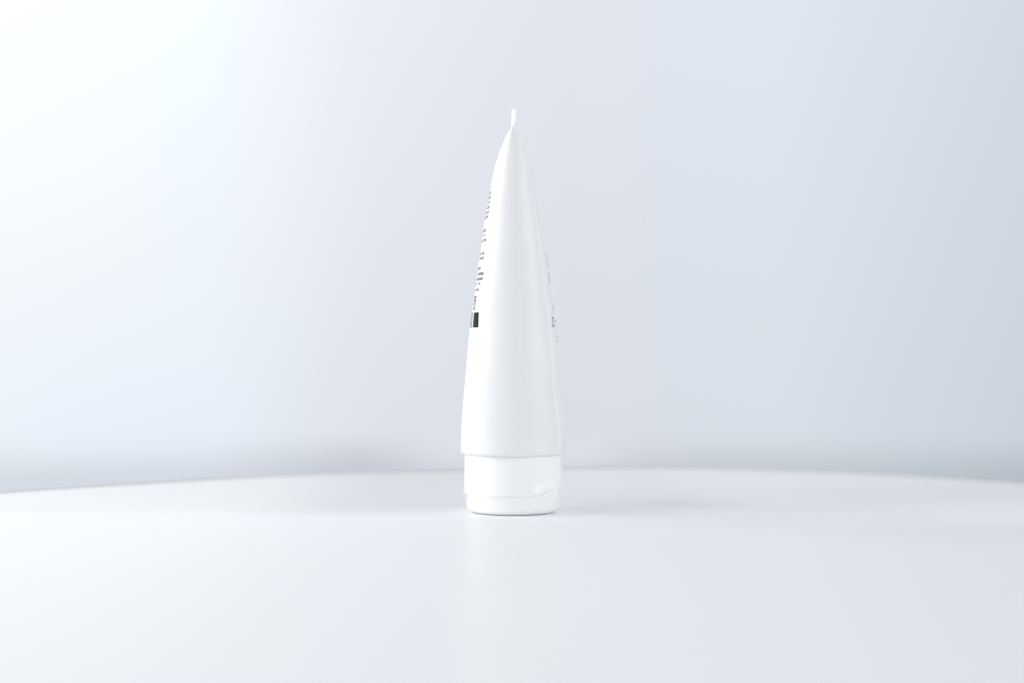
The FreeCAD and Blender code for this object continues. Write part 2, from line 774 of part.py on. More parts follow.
lid_section = outline(
    None,
    "LidSection",
    [
        ("0", "0"),
        ("LidFootRadius", "0"),
        ("LidWaistRadius", "LidCornerHeight"),
        ("LidRimRadius", "LidRimHeight - 0.15"),
        ("LidRimRadius - 0.12", "LidRimHeight"),
        ("LidInsideRim", "LidRimHeight"),
        ("LidInsideWaist", "LidInsideCorner"),
        ("LidInsideFoot", "LidFloor"),
        ("PinRadius + 0.4", "LidFloor"),
        ("PinRadius", "LidFloor + 0.5"),
        ("PinRadius", "SpoutTipHeight + 0.4"),
        ("PinTipRadius", "PinTipHeight"),
        ("0", "PinTipHeight"),
    ],
    {
        1: on_arc(size["LidFootRadius"], size["LidCornerHeight"], size["LidCornerHeight"], -42),
        6: on_arc(size["LidInsideFoot"], size["LidInsideCorner"], size["LidInsideCorner"] - size["LidFloor"], -45),
    },
)
lid_turned = part_revolution("LidTurned", lid_section)
lid_pocketed = pair("Cut", "LidPocketed", lid_turned, pocket)

lip_outline = outline(
    None,
    "LipOutline",
    [
        ("-LipHalfWidth", "LidRimHeight - 0.8"),
        ("LipHalfWidth", "LidRimHeight - 0.8"),
        ("LipHalfWidth", "LidRimHeight + 0.15"),
        ("LipHalfWidth - 1", "LipTop"),
        ("-LipHalfWidth + 1", "LipTop"),
        ("-LipHalfWidth", "LidRimHeight + 0.15"),
    ],
)
lip_block = part_extrusion("LipBlock", lip_outline, V(0, -1, 0), 30.0, "1.5 * " + D("SleeveRadius"))
lip_outer = cylinder("LipFace", size["LipOutside"], 6.0, 5.0, (D("LipOutside"), "6", "5"))
lip_inner = cylinder("LipBack", size["LipInside"], 6.0, 5.0, (D("LipInside"), "6", "5"))
lip_ring = pair("Cut", "LipRing", lip_outer, lip_inner)
lip = pair("Common", "ThumbLip", lip_block, lip_ring)

tab_lid = outline(
    None,
    "LidTabSection",
    [
        ("LidInsideRim - 0.8", "HingePocketFoot - 0.2"),
        ("LidWaistRadius", "HingePocketFoot - 0.2"),
        ("TabFace", "LidTabTop - 0.25"),
        ("TabFace", "LidTabTop"),
        ("LidInsideRim - 0.8", "LidTabTop"),
    ],
    role="YZ_Plane",
)
tab_lid_block = doc.addObject("Part::Extrusion", "LidTabBlock")
tab_lid_block.Base = tab_lid
tab_lid_block.DirMode = "Custom"
tab_lid_block.Dir = V(1, 0, 0)
tab_lid_block.Solid = True
tab_lid_block.LengthFwd = size["TabHalfWidth"]
tab_lid_block.LengthRev = size["TabHalfWidth"]
tab_lid_block.setExpression("LengthFwd", D("TabHalfWidth"))
tab_lid_block.setExpression("LengthRev", D("TabHalfWidth"))
tab_lid_core = cylinder("LidTabCore", size["LidInsideRim"] + 0.1, 14.0, 1.0, (D("LidInsideRim") + " + 0.1", "14", "1"))
lid_tab = pair("Cut", "LidTab", tab_lid_block, tab_lid_core)
lid_extras = pair("Fuse", "LidExtras", lip, lid_tab)
cap_lid = pair("Fuse", "CapLid", lid_pocketed, lid_extras)
cap_lid.Label = "cap_lid"
doc.recompute()

# ---------------------------------------------------------------------------
# Checks, then one STEP file for each piece.
# ---------------------------------------------------------------------------
for item in doc.Objects:
    if "Invalid" in item.State or "Error" in item.State:
        raise RuntimeError("%s: %s" % (item.Name, item.State))
for sketch, corners, centres in outlines:
    for index, end, wanted in corners:
        if sketch.getPoint(index, end).distanceToPoint(wanted) > 1e-6:
            raise RuntimeError("%s moved a corner" % sketch.Name)
    for index, wanted in centres.items():
        if sketch.getPoint(index, 3).distanceToPoint(wanted) > 1e-6:
            raise RuntimeError("%s moved an arc" % sketch.Name)

pieces = [sleeve, head, cream, cap_base, cap_lid]
for piece in pieces:
    shape = piece.Shape
    if shape.isNull() or not shape.isValid():
        raise RuntimeError(piece.Label + " has no valid shape")
    box = shape.BoundBox
    print(
        "%-12s solids %d faces %d volume %.1f box (%.2f %.2f %.2f) to (%.2f %.2f %.2f)"
        % (
            piece.Label,
            len(shape.Solids),
            len(shape.Faces),
            shape.Volume,
            box.XMin,
            box.YMin,
            box.ZMin,
            box.XMax,
            box.YMax,
            box.ZMax,
        )
    )
    if len(shape.Solids) != 1:
        raise RuntimeError(piece.Label + " is not one solid")

os.makedirs("parts", exist_ok=True)
for piece in pieces:
    piece.Shape.exportStep("parts/%s.step" % piece.Label)
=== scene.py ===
import math

import bpy
import numpy as np
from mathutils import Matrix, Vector


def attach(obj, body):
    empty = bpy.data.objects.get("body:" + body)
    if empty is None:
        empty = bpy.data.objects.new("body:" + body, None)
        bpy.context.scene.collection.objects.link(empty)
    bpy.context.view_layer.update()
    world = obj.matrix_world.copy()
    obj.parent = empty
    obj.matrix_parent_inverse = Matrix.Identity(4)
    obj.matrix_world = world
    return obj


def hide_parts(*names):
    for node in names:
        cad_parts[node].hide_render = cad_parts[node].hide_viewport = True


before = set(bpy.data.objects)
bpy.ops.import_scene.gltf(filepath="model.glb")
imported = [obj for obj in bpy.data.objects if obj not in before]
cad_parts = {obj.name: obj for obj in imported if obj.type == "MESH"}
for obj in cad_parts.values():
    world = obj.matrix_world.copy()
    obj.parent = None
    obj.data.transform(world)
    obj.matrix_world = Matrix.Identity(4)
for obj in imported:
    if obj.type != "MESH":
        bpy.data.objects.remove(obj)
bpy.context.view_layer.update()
MM = 0.001
scene = bpy.context.scene


# ---------------------------------------------------------------------------
# Small helpers
# ---------------------------------------------------------------------------
def smooth(low, high, x):
    t = np.clip((np.asarray(x, float) - low) / (high - low), 0.0, 1.0)
    return t * t * (3.0 - 2.0 * t)


def bell(x, middle, width):
    return np.exp(-(((np.asarray(x, float) - middle) / width) ** 2))


def monotone(xs, ys, x):
    """Monotone cubic curve through the points (Fritsch and Carlson)."""
    xs, ys, x = np.asarray(xs, float), np.asarray(ys, float), np.asarray(x, float)
    h = np.diff(xs)
    slope = np.diff(ys) / h
    m = np.zeros_like(ys)
    m[0], m[-1] = slope[0], slope[-1]
    for i in range(1, len(xs) - 1):
        if slope[i - 1] * slope[i] > 0:
            w1, w2 = 2 * h[i] + h[i - 1], h[i] + 2 * h[i - 1]
            m[i] = (w1 + w2) / (w1 / slope[i - 1] + w2 / slope[i])
    k = np.clip(np.searchsorted(xs, x) - 1, 0, len(xs) - 2)
    t = (np.clip(x, xs[0], xs[-1]) - xs[k]) / h[k]
    return (
        (2 * t**3 - 3 * t**2 + 1) * ys[k]
        + (t**3 - 2 * t**2 + t) * h[k] * m[k]
        + (-2 * t**3 + 3 * t**2) * ys[k + 1]
        + (t**3 - t**2) * h[k] * m[k + 1]
    )


def new_mesh(name, verts, faces, smooth_shading=True):
    mesh = bpy.data.meshes.new(name)
    mesh.from_pydata([tuple(v) for v in np.asarray(verts) * MM], [], faces)
    mesh.validate()
    if smooth_shading:
        mesh.polygons.foreach_set("use_smooth", [True] * len(mesh.polygons))
    mesh.update()
    obj = bpy.data.objects.new(name, mesh)
    scene.collection.objects.link(obj)
    return obj


def rings(grid, close_start=False, close_end=False, first=0):
    """Faces of a grid of closed rings, grid[k] being the indices of ring k."""
    faces = []
    n = len(grid[0])
    for low, high in zip(grid[:-1], grid[1:]):
        for i in range(n):
            j = (i + 1) % n
            faces.append((low[i], low[j], high[j], high[i]))
    if close_start:
        faces.append(tuple(reversed(grid[0])))
    if close_end:
        faces.append(tuple(grid[-1]))
    return faces


# ---------------------------------------------------------------------------
# Shader helpers
# ---------------------------------------------------------------------------
class Nodes:
    def __init__(self, name):
        self.mat = bpy.data.materials.new(name)
        self.mat.use_nodes = True
        self.tree = self.mat.node_tree
        self.nodes, self.links = self.tree.nodes, self.tree.links
        self.bsdf = self.nodes["Principled BSDF"]

    def put(self, socket, value):
        if hasattr(value, "links"):
            self.links.new(value, socket)
        elif value is not None:
            socket.default_value = value

    def math(self, op, a, b=None, c=None, clamp=False):
        node = self.nodes.new("ShaderNodeMath")
        node.operation = op
        node.use_clamp = clamp
        for k, value in enumerate((a, b, c)):
            self.put(node.inputs[k], value)
        return node.outputs[0]

    def mix(self, factor, a, b):
        node = self.nodes.new("ShaderNodeMix")
        node.data_type = "RGBA"
        self.put(node.inputs[0], factor)
        self.put(node.inputs[6], a)
        self.put(node.inputs[7], b)
        return node.outputs[2]

    def noise(self, vector, scale, detail=2.0, rough=0.5, dims="3D"):
        node = self.nodes.new("ShaderNodeTexNoise")
        node.noise_dimensions = dims
        self.put(node.inputs["Vector"], vector)
        node.inputs["Scale"].default_value = scale
        node.inputs["Detail"].default_value = detail
        node.inputs["Roughness"].default_value = rough
        return node.outputs["Fac"]

    def white(self, a, b):
        combine = self.nodes.new("ShaderNodeCombineXYZ")
        self.put(combine.inputs[0], a)
        self.put(combine.inputs[1], b)
        node = self.nodes.new("ShaderNodeTexWhiteNoise")
        node.noise_dimensions = "2D"
        self.put(node.inputs["Vector"], combine.outputs[0])
        return node.outputs["Value"]

    def bump(self, height, strength, distance, normal=None):
        node = self.nodes.new("ShaderNodeBump")
        node.inputs["Strength"].default_value = strength
        node.inputs["Distance"].default_value = distance
        self.put(node.inputs["Height"], height)
        self.put(node.inputs["Normal"], normal)
        return node.outputs[0]

    def slide(self, socket, low, high, to_low, to_high):
        """Smooth change from one value to another as the input goes from low to high."""
        node = self.nodes.new("ShaderNodeMapRange")
        node.interpolation_type = "SMOOTHSTEP"
        for name, value in (("From Min", low), ("From Max", high), ("To Min", to_low), ("To Max", to_high)):
            node.inputs[name].default_value = value
        self.put(node.inputs["Value"], socket)
        return node.outputs[0]

    def object_coords(self):
        return self.nodes.new("ShaderNodeTexCoord").outputs["Object"]

    def within(self, x, middle, half):
        return self.math("COMPARE", x, middle, half)

    def box(self, u, v, u0, u1, v0, v1):
        a = self.within(u, (u0 + u1) / 2, (u1 - u0) / 2)
        b = self.within(v, (v0 + v1) / 2, (v1 - v0) / 2)
        return self.math("MULTIPLY", a, b)

    def add(self, *masks):
        total = masks[0]
        for mask in masks[1:]:
            total = self.math("MAXIMUM", total, mask)
        return total


def rgb(r, g, b):
    """Linear colour from 8-bit display values."""

    def one(c):
        c /= 255.0
        return c / 12.92 if c <= 0.04045 else ((c + 0.055) / 1.055) ** 2.4

    return (one(r), one(g), one(b), 1.0)


# ---------------------------------------------------------------------------
# Sleeve: sections keep the length of the round tube's outline
# ---------------------------------------------------------------------------
RADIUS = 20.0
OUTLINE = 2 * math.pi * RADIUS
WALL = 0.55

# height, half thickness front to back, side ridge's radius
PROFILE = np.array(
    [
        (28.7, 20.0, 20.0),
        (31.2, 19.84, 19.62),
        (35.7, 19.60, 19.12),
        (40.3, 19.29, 18.62),
        (44.9, 18.91, 18.12),
        (49.5, 18.50, 17.63),
        (54.0, 18.08, 17.21),
        (58.6, 17.68, 16.80),
        (63.2, 17.30, 16.44),
        (67.8, 16.84, 15.97),
        (72.4, 16.33, 15.47),
        (77.0, 15.70, 14.86),
        (81.5, 14.97, 14.12),
        (86.1, 14.29, 13.41),
        (90.7, 13.70, 12.77),
        (95.3, 13.10, 12.12),
        (99.8, 12.43, 11.37),
        (104.4, 11.83, 10.73),
        (109.0, 11.22, 10.08),
        (113.6, 10.46, 9.20),
        (118.2, 9.70, 8.36),
        (122.8, 8.93, 7.53),
        (127.3, 8.06, 6.66),
        (131.0, 7.14, 5.70),
        (134.0, 6.22, 4.77),
        (136.8, 5.26, 3.89),
        (139.0, 4.28, 2.98),
        (140.8, 3.12, 2.02),
        (142.1, 1.92, 1.02),
        (142.7, 1.32, 0.56),
        (143.1, 0.94, 0.38),
        (143.5, 0.66, 0.33),
        (143.8, 0.50, 0.32),
    ]
)


def oval_shape(a, r):
    """Half width b, panel radius R and its half angle for thickness a and ridge radius r."""
    if a - r < 1e-4:
        return a, a, math.pi / 4
    low, high = a, 34.0
    for _ in range(60):
        b = (low + high) / 2
        R = ((b - r) ** 2 + a * a - r * r) / (2 * (a - r))
        turn = math.atan2(b - r, R - a)
        if 4 * (R * turn + r * (math.pi / 2 - turn)) < OUTLINE:
            low = b
        else:
            high = b
    return b, R, turn


# Columns of the sleeve's mesh as fractions of a quarter of the outline: a quarter of
# a crimp rib apart on the panels, closer together on the side ridges.
RIB = 1.2566
EVEN = 95
QUARTER = np.concatenate([np.arange(EVEN) * 0.01, EVEN * 0.01 + np.arange(16) * (1 - EVEN * 0.01) / 15])
N = 4 * (len(QUARTER) - 1)
COLUMN = np.concatenate([QUARTER, 2 - QUARTER[::-1][1:], 2 + QUARTER[1:], 4 - QUARTER[::-1][1:-1]]) / 4


def oval_points(a, r, n, inset=0.0):
    """The sleeve's columns on the oval, from the front panel's middle."""
    b, R, turn = oval_shape(a, r)
    panel, ridge = R * turn, r * (math.pi / 2 - turn)
    s = QUARTER * (panel + ridge)
    on_panel = s <= panel
    angle_p = s / R
    angle_r = turn + (s - panel) / r
    x = np.where(on_panel, (R - inset) * np.sin(angle_p), (b - r) + (r - inset) * np.sin(angle_r))
    y = np.where(on_panel, -(R - inset) * np.cos(angle_p) + (R - a), -(r - inset) * np.cos(angle_r))
    x[0], y[-1] = 0.0, 0.0
    right_front = np.stack([x, y], 1)
    right_back = np.stack([x[::-1], -y[::-1]], 1)[1:]
    half = np.concatenate([right_front, right_back])
    left = np.stack([-half[::-1, 0], half[::-1, 1]], 1)[1:-1]
    return np.concatenate([half, left])


def stadium_points(a, b, n, corner):
    """The sleeve's columns round a flat strip of half thickness a and half length b."""
    flat = b - corner
    side = max(a - corner, 0.0)
    arc = corner * math.pi / 2
    s = QUARTER * (flat + arc + side)
    t = np.clip((s - flat) / max(arc, 1e-9), 0, 1) * math.pi / 2
    x = np.where(s <= flat, s, flat + corner * np.sin(t))
    y = np.where(s <= flat, -a, -a + corner * (1 - np.cos(t)))
    y = np.where(s > flat + arc, -side + (s - flat - arc), y)
    x[0], y[-1] = 0.0, 0.0
    right_front = np.stack([x, y], 1)
    right_back = np.stack([x[::-1], -y[::-1]], 1)[1:]
    half = np.concatenate([right_front, right_back])
    left = np.stack([-half[::-1, 0], half[::-1, 1]], 1)[1:-1]
    return np.concatenate([half, left])


CRIMP_HALF = 31.35


def crimp_bow(x, z):
    """The welded tail is not perfectly flat: it waves a little, and the folds step
    sideways where they leave the weld."""
    x, z = np.asarray(x, float), np.asarray(z, float)
    lift = smooth(141.5, 146.0, z)
    wave = 0.17 * np.sin(x * 0.105 + 3.25) + 0.08 * np.sin(x * 0.31 + 0.3) - 0.17
    wave = wave + 0.05 * (z - 146.5) / 3.0 * np.cos(x * 0.07)
    neck = bell(z, 143.3, 0.75)
    step = 0.36 * smooth(26.0, 30.5, -x) - 0.24 * smooth(26.0, 30.5, x)
    lean = -0.11 * smooth(118.0, 128.0, z) * (1 - smooth(138.0, 142.0, z))
    return lift * wave + neck * step + lean


def sleeve_levels():
    levels = []
    # turned-in lip and rounded end
    levels.append(("round", 17.5, 21.95))
    levels.append(("round", 18.2, 21.95))
    for deg in range(-90, 1, 9):
        t = math.radians(deg)
        levels.append(("round", 18.5 + 1.5 * math.cos(t), 23.15 + 1.2 * math.sin(t)))
    for z in (23.6, 24.6, 25.6, 26.6, 27.4, 27.9, 28.3):
        levels.append(("round", 20.0, z))
    zs = list(np.arange(28.7, 31.2, 0.4)) + list(np.arange(31.2, 131.0, 1.3))
    zs += list(np.arange(131.0, 139.9, 0.75)) + list(np.arange(140.0, 142.3, 0.33)) + list(np.arange(142.4, 143.81, 0.2))
    for z in zs:
        levels.append(("oval", float(z)))
    for z in (143.95, 144.1, 144.25, 144.4, 144.55, 144.7, 144.85, 145.0, 145.3, 145.8, 146.4, 147.0, 147.6, 148.1, 148.35, 148.6, 148.8, 149.0, 149.12, 149.2, 149.25):
        levels.append(("crimp", z))
    return levels


def dents(s, z):
    """Small unevenness of a filled, handled sleeve, as a shift along the surface normal.
    s runs round the outline from 0 to 1 from the front panel's middle."""
    angle = 2 * math.pi * s
    # hand-sized swells
    d = 0.055 * np.sin(2 * angle + 0.045 * z) * np.sin(0.061 * z + 0.7)
    d = d + 0.035 * np.sin(5 * angle - 0.07 * z + 1.3) * np.sin(0.11 * z)
    # short flutes that run down from the weld, on the panels
    d = d + 0.07 * smooth(118, 139, z) * (1 - smooth(141.5, 143.6, z)) * np.sin(14 * angle + 0.9) * (
        0.6 + 0.4 * np.sin(3 * angle)
    ) * (1 - bell(s, 0.75, 0.06))
    # the fold under each end of the weld: a crease and finer flutes that fan out from it
    for ridge, way in ((0.75, 1.0), (0.25, -1.0)):
        arc = way * (s - ridge) * OUTLINE
        valley = 0.19 * smooth(132.5, 138.5, z) * (1 - smooth(141.4, 142.3, z))
        d = d - valley * bell(arc, 0.72 + 0.03 * (140.0 - z), 0.95)
        for start, slope, width, height in (
            (2.45, 0.32, 0.85, 0.060),
            (4.55, 0.29, 1.00, 0.045),
            (6.60, 0.25, 1.20, 0.040),
            (-2.40, -0.20, 1.30, 0.030),
        ):
            x = (arc - start - slope * (137.0 - z)) / width
            d = d + height * smooth(116, 134, z) * (1 - smooth(139.0, 141.5, z)) * x * np.exp(-x * x)
    # a few shallow finger marks
    for s0, z0, ws, wz, depth in (
        (0.882, 65.2, 0.010, 1.3, 0.075),
        (0.845, 58.5, 0.014, 1.0, 0.05),
        (0.930, 92.0, 0.022, 6.0, 0.08),
        (0.062, 48.0, 0.020, 5.0, 0.07),
        (0.55, 70.0, 0.026, 7.0, 0.10),
        (0.44, 104.0, 0.022, 6.0, 0.09),
        (0.20, 88.0, 0.020, 5.0, 0.06),
    ):
        ds = np.abs(s - s0)
        ds = np.minimum(ds, 1 - ds)
        d = d - depth * np.exp(-((ds / ws) ** 2) - ((z - z0) / wz) ** 2)
    fade = smooth(28.8, 36.0, z)
    return d * fade


def build_sleeve():
    s = COLUMN
    from_middle = np.minimum(np.minimum(s, 1 - s), np.abs(s - 0.5)) * OUTLINE
    outer = []
    for level in sleeve_levels():
        if level[0] == "round":
            _, r, z = level
            xy = oval_points(r, r, N)
            zz = np.full(N, z)
        elif level[0] == "oval":
            z = level[1]
            a = float(monotone(PROFILE[:, 0], PROFILE[:, 1], z))
            r = min(float(monotone(PROFILE[:, 0], PROFILE[:, 2], z)), a)
            xy = oval_points(a, r, N)
            # normals in the section plane
            t = np.roll(xy, -1, 0) - np.roll(xy, 1, 0)
            nrm = np.stack([t[:, 1], -t[:, 0]], 1)
            nrm /= np.linalg.norm(nrm, axis=1)[:, None]
            xy = xy + nrm * dents(s, z)[:, None]
            zz = np.full(N, z)
        else:
            z = level[1]
            # thickness: thin at the foot, full in the pressed band, eased at the cut edge;
            # at both ends the fold bulges where the weld has squeezed it
            rounding = 1 - math.sqrt(max(0.0, 1 - (max(0.0, z - 149.0) / 0.25) ** 2))
            a = 0.50 + 0.12 * smooth(143.9, 144.9, z) - 0.06 * smooth(147.2, 149.0, z) - 0.16 * rounding
            fold = 0.325 + 0.40 * smooth(143.95, 144.75, z) - 0.03 * smooth(148.0, 149.0, z) - 0.16 * rounding
            b = CRIMP_HALF - 0.16 * rounding
            xy = stadium_points(a, b, N, min(0.42, a * 0.8))
            # pressed ribs, on both faces
            band = smooth(144.6, 144.95, z) * (1 - smooth(148.35, 148.7, z))
            flat = smooth(0.6, 1.6, CRIMP_HALF - np.abs(xy[:, 0]))
            rib = 0.075 * np.cos(from_middle * 2 * math.pi / RIB)
            xy[:, 1] += np.sign(xy[:, 1]) * band * flat * (rib - 0.05)
            xy[:, 1] *= 1 + (fold / a - 1) * smooth(28.4, 30.6, np.abs(xy[:, 0]))
            zz = np.full(N, z)
        pts = np.concatenate([xy, zz[:, None]], 1)
        pts[:, 1] += crimp_bow(pts[:, 0], pts[:, 2])
        outer.append(pts)
    inner = []
    for z in [22.12, 22.2, 22.5, 22.9, 23.3, 25.0, 28.7] + list(np.arange(32.0, 132.0, 6.0)) + [132.0, 136.0, 139.0, 140.8, 141.8, 142.4]:
        if z < 23.1:
            r = 18.5 + math.sqrt(max(0.0, 0.95**2 - (23.1 - z) ** 2)) if z > 22.16 else 17.5
            xy = oval_points(r, r, N)
        elif z <= 28.7:
            xy = oval_points(RADIUS - WALL, RADIUS - WALL, N)
        else:
            a = float(monotone(PROFILE[:, 0], PROFILE[:, 1], z))
            r = min(float(monotone(PROFILE[:, 0], PROFILE[:, 2], z)), a)
            xy = oval_points(a, r, N, inset=WALL)
        pts = np.concatenate([xy, np.full((N, 1), z)], 1)
        pts[:, 1] += crimp_bow(pts[:, 0], pts[:, 2])
        inner.append(pts)
    verts = np.concatenate(outer + inner)
    count_outer = len(outer)
    grid = np.arange(len(verts)).reshape(-1, N)
    faces = rings(grid[:count_outer].tolist())
    # outer sleeve's cut edge: bridge front and back
    top = grid[count_outer - 1].tolist()
    for i in range(N // 2):
        a0, a1 = top[i], top[i + 1]
        b0, b1 = top[(N - i) % N], top[N - i - 1]
        # i runs along the right half from front to back, its mirror along the left half
        faces_row = (a0, a1, b1, b0)
        if len(set(faces_row)) == 4:
            faces.append(faces_row)
        elif len(set(faces_row)) == 3:
            tri = []
            for v in faces_row:
                if v not in tri:
                    tri.append(v)
            faces.append(tuple(tri))
    # inner skin, turned inside out
    inner_grid = grid[count_outer:].tolist()
    for low, high in zip(inner_grid[:-1], inner_grid[1:]):
        for i in range(N):
            j = (i + 1) % N
            faces.append((low[j], low[i], high[i], high[j]))
    last = inner_grid[-1]
    for i in range(N // 2):
        row = (last[i], last[(N - i) % N], last[N - i - 1], last[i + 1])
        if len(set(row)) == 4:
            faces.append(row)
        elif len(set(row)) == 3:
            tri = []
            for v in row:
                if v not in tri:
                    tri.append(v)
            faces.append(tuple(tri))
    # lip
    low, high = grid[0].tolist(), inner_grid[0]
    for i in range(N):
        j = (i + 1) % N
        faces.append((low[j], low[i], high[i], high[j]))
    obj = new_mesh("tube_sleeve_skin", verts, faces)
    # the unrolled sleeve as a map: millimetres round the outline and up the tube
    layer = obj.data.uv_layers.new(name="unrolled")
    loops = np.zeros(len(obj.data.loops), np.int32)
    obj.data.loops.foreach_get("vertex_index", loops)
    ring = loops % N
    u = COLUMN[ring] * OUTLINE
    # keep each face on one side of the seam at the front panel's middle
    start = np.zeros(len(obj.data.polygons), np.int32)
    total = np.zeros(len(obj.data.polygons), np.int32)
    obj.data.polygons.foreach_get("loop_start", start)
    obj.data.polygons.foreach_get("loop_total", total)
    owner = np.repeat(np.arange(len(start)), total)
    high_face = np.zeros(len(start), bool)
    np.logical_or.at(high_face, owner, ring > N * 3 // 4)
    u = np.where(high_face[owner] & (ring < N // 4), u + OUTLINE, u)
    co = np.zeros(len(obj.data.vertices) * 3, np.float32)
    obj.data.vertices.foreach_get("co", co)
    v = co.reshape(-1, 3)[loops, 2] / MM
    # stored in units of 200 mm, so that the map stays inside one tile
    layer.data.foreach_set("uv", np.stack([u / 200.0, v / 200.0], 1).astype(np.float32).ravel())
    return obj


sleeve = build_sleeve()
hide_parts("tube_sleeve")
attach(sleeve, "tube")


# ---------------------------------------------------------------------------
# Cap: turned profiles that change with the angle round the axis
# ---------------------------------------------------------------------------
def columns():
    """Angles in degrees from the front (-Y), closer together at the notch's sides."""
    marks = [0.0]
    while marks[-1] < 360.0 - 1e-6:
        a = marks[-1]
        b = min(a, 360 - a)
        near_side = min(abs(b - 64.9), abs(b - 45.6))
        step = 0.35 if near_side < 1.6 else (0.7 if near_side < 4 else 1.5)
        if 158 < b:
            step = 0.9
        if abs(b - 160.8) < 1.3:
            step = 0.3
        marks.append(a + step)
    marks = np.array(marks[:-1])
    half = marks[marks <= 180.0]
    return np.concatenate([half, 360.0 - half[::-1][(half[::-1] > 0) & (half[::-1] < 180.0)]])


ANGLES = columns()
BACK = 180.0
SPLIT = 7.15


def side_angle(deg):
    """Signed angle from the front, -180 to 180."""
    return (deg + 180.0) % 360.0 - 180.0


def place(radius, deg, z):
    t = np.radians(deg)
    return np.stack([radius * np.sin(t), -radius * np.cos(t), np.broadcast_to(z, np.shape(radius))], -1)


def notch_edge(s):
    """Height of the thumb notch's upper edge at s mm round the skirt from the front."""
    marks = [0.0, 2.0, 4.0, 6.0, 7.6, 8.8, 10.4, 12.0, 14.2, 16.3, 18.6, 22.0]
    heights = [15.75, 15.68, 15.42, 14.95, 14.42, 14.0, 13.42, 13.04, 12.72, 12.5, 12.28, 12.0]
    return monotone(marks, heights, np.minimum(np.abs(s), 22.0))


def notch_depth(deg, z):
    s = np.radians(np.abs(side_angle(deg))) * 18.5
    skirt = skirt_radius(z)
    floor = 17.42 + (z - 7.4) * (18.50 - 17.42) / (15.8 - 7.4)
    up = notch_edge(s) - z
    across = 20.95 - s
    round_r = 0.55
    corner = round_r - np.sqrt(np.maximum(round_r - up, 0) ** 2 + np.maximum(round_r - across, 0) ** 2)
    inside = np.where((up < round_r) & (across < round_r), corner, np.minimum(up, across))
    # the mould leaves a fine groove at the foot of the side walls
    groove = 0.24 * bell(across, 0.42, 0.26) * smooth(0.0, 0.8, up)
    scoop = 0.62 + 0.38 * smooth(0.0, 5.0, across)
    return smooth(-0.12, 0.20, inside) * (np.maximum(skirt - floor, 0.0) * scoop + groove)


def skirt_radius(z):
    return 18.68 - (z - 7.4) * (18.68 - 18.52) / (21.3 - 7.4)


def pocket_depth(deg, z, surface):
    s = np.abs(side_angle(deg - BACK)) * math.pi / 180 * 18.5
    across = 5.48 - s
    mask = smooth(-0.25, 0.20, across) * smooth(-0.25, 0.20, 8.9 - z) * smooth(-0.25, 0.20, z - 5.0)
    return mask * np.maximum(surface - 17.78, 0.0)


def fillet(cx, cz, radius, start, stop, n=4):
    return [
        (cx + radius * math.cos(math.radians(d)), cz + radius * math.sin(math.radians(d)))
        for d in np.linspace(start, stop, n)
    ]


def lathe(name, loop, end_caps=False):
    """loop: list of (radius array, height array) over ANGLES, a closed profile unless end_caps."""
    n = len(ANGLES)
    verts = np.concatenate([place(np.broadcast_to(r, n), ANGLES, np.broadcast_to(z, n)) for r, z in loop])
    grid = np.arange(len(verts)).reshape(-1, n).tolist()
    faces = rings(grid)
    if end_caps:
        faces.append(tuple(reversed(grid[0])))
        faces.append(tuple(grid[-1]))
    else:
        for i in range(n):
            j = (i + 1) % n
            faces.append((grid[-1][i], grid[-1][j], grid[0][j], grid[0][i]))
    return verts, faces


def wedge(section, half_width, edge=0.06, steps=10):
    """Closed bar along X with a (y, z) section, its ends eased."""
    section = np.array(section)
    middle = section.mean(0)
    xs = [(-half_width, 0.95), (-half_width + edge, 1.0)]
    xs += [(x, 1.0) for x in np.linspace(-half_width + 2 * edge, half_width - 2 * edge, steps)]
    xs += [(half_width - edge, 1.0), (half_width, 0.95)]
    verts = []
    for x, k in xs:
        pts = middle + (section - middle) * k
        verts += [(x, y, z) for y, z in pts]
    n = len(section)
    grid = np.arange(len(verts)).reshape(-1, n).tolist()
    return np.array(verts), rings(grid, True, True)


def join(*parts):
    verts, faces, base = [], [], 0
    for v, f in parts:
        verts.append(np.asarray(v))
        faces += [tuple(i + base for i in face) for face in f]
        base += len(v)
    return np.concatenate(verts), faces


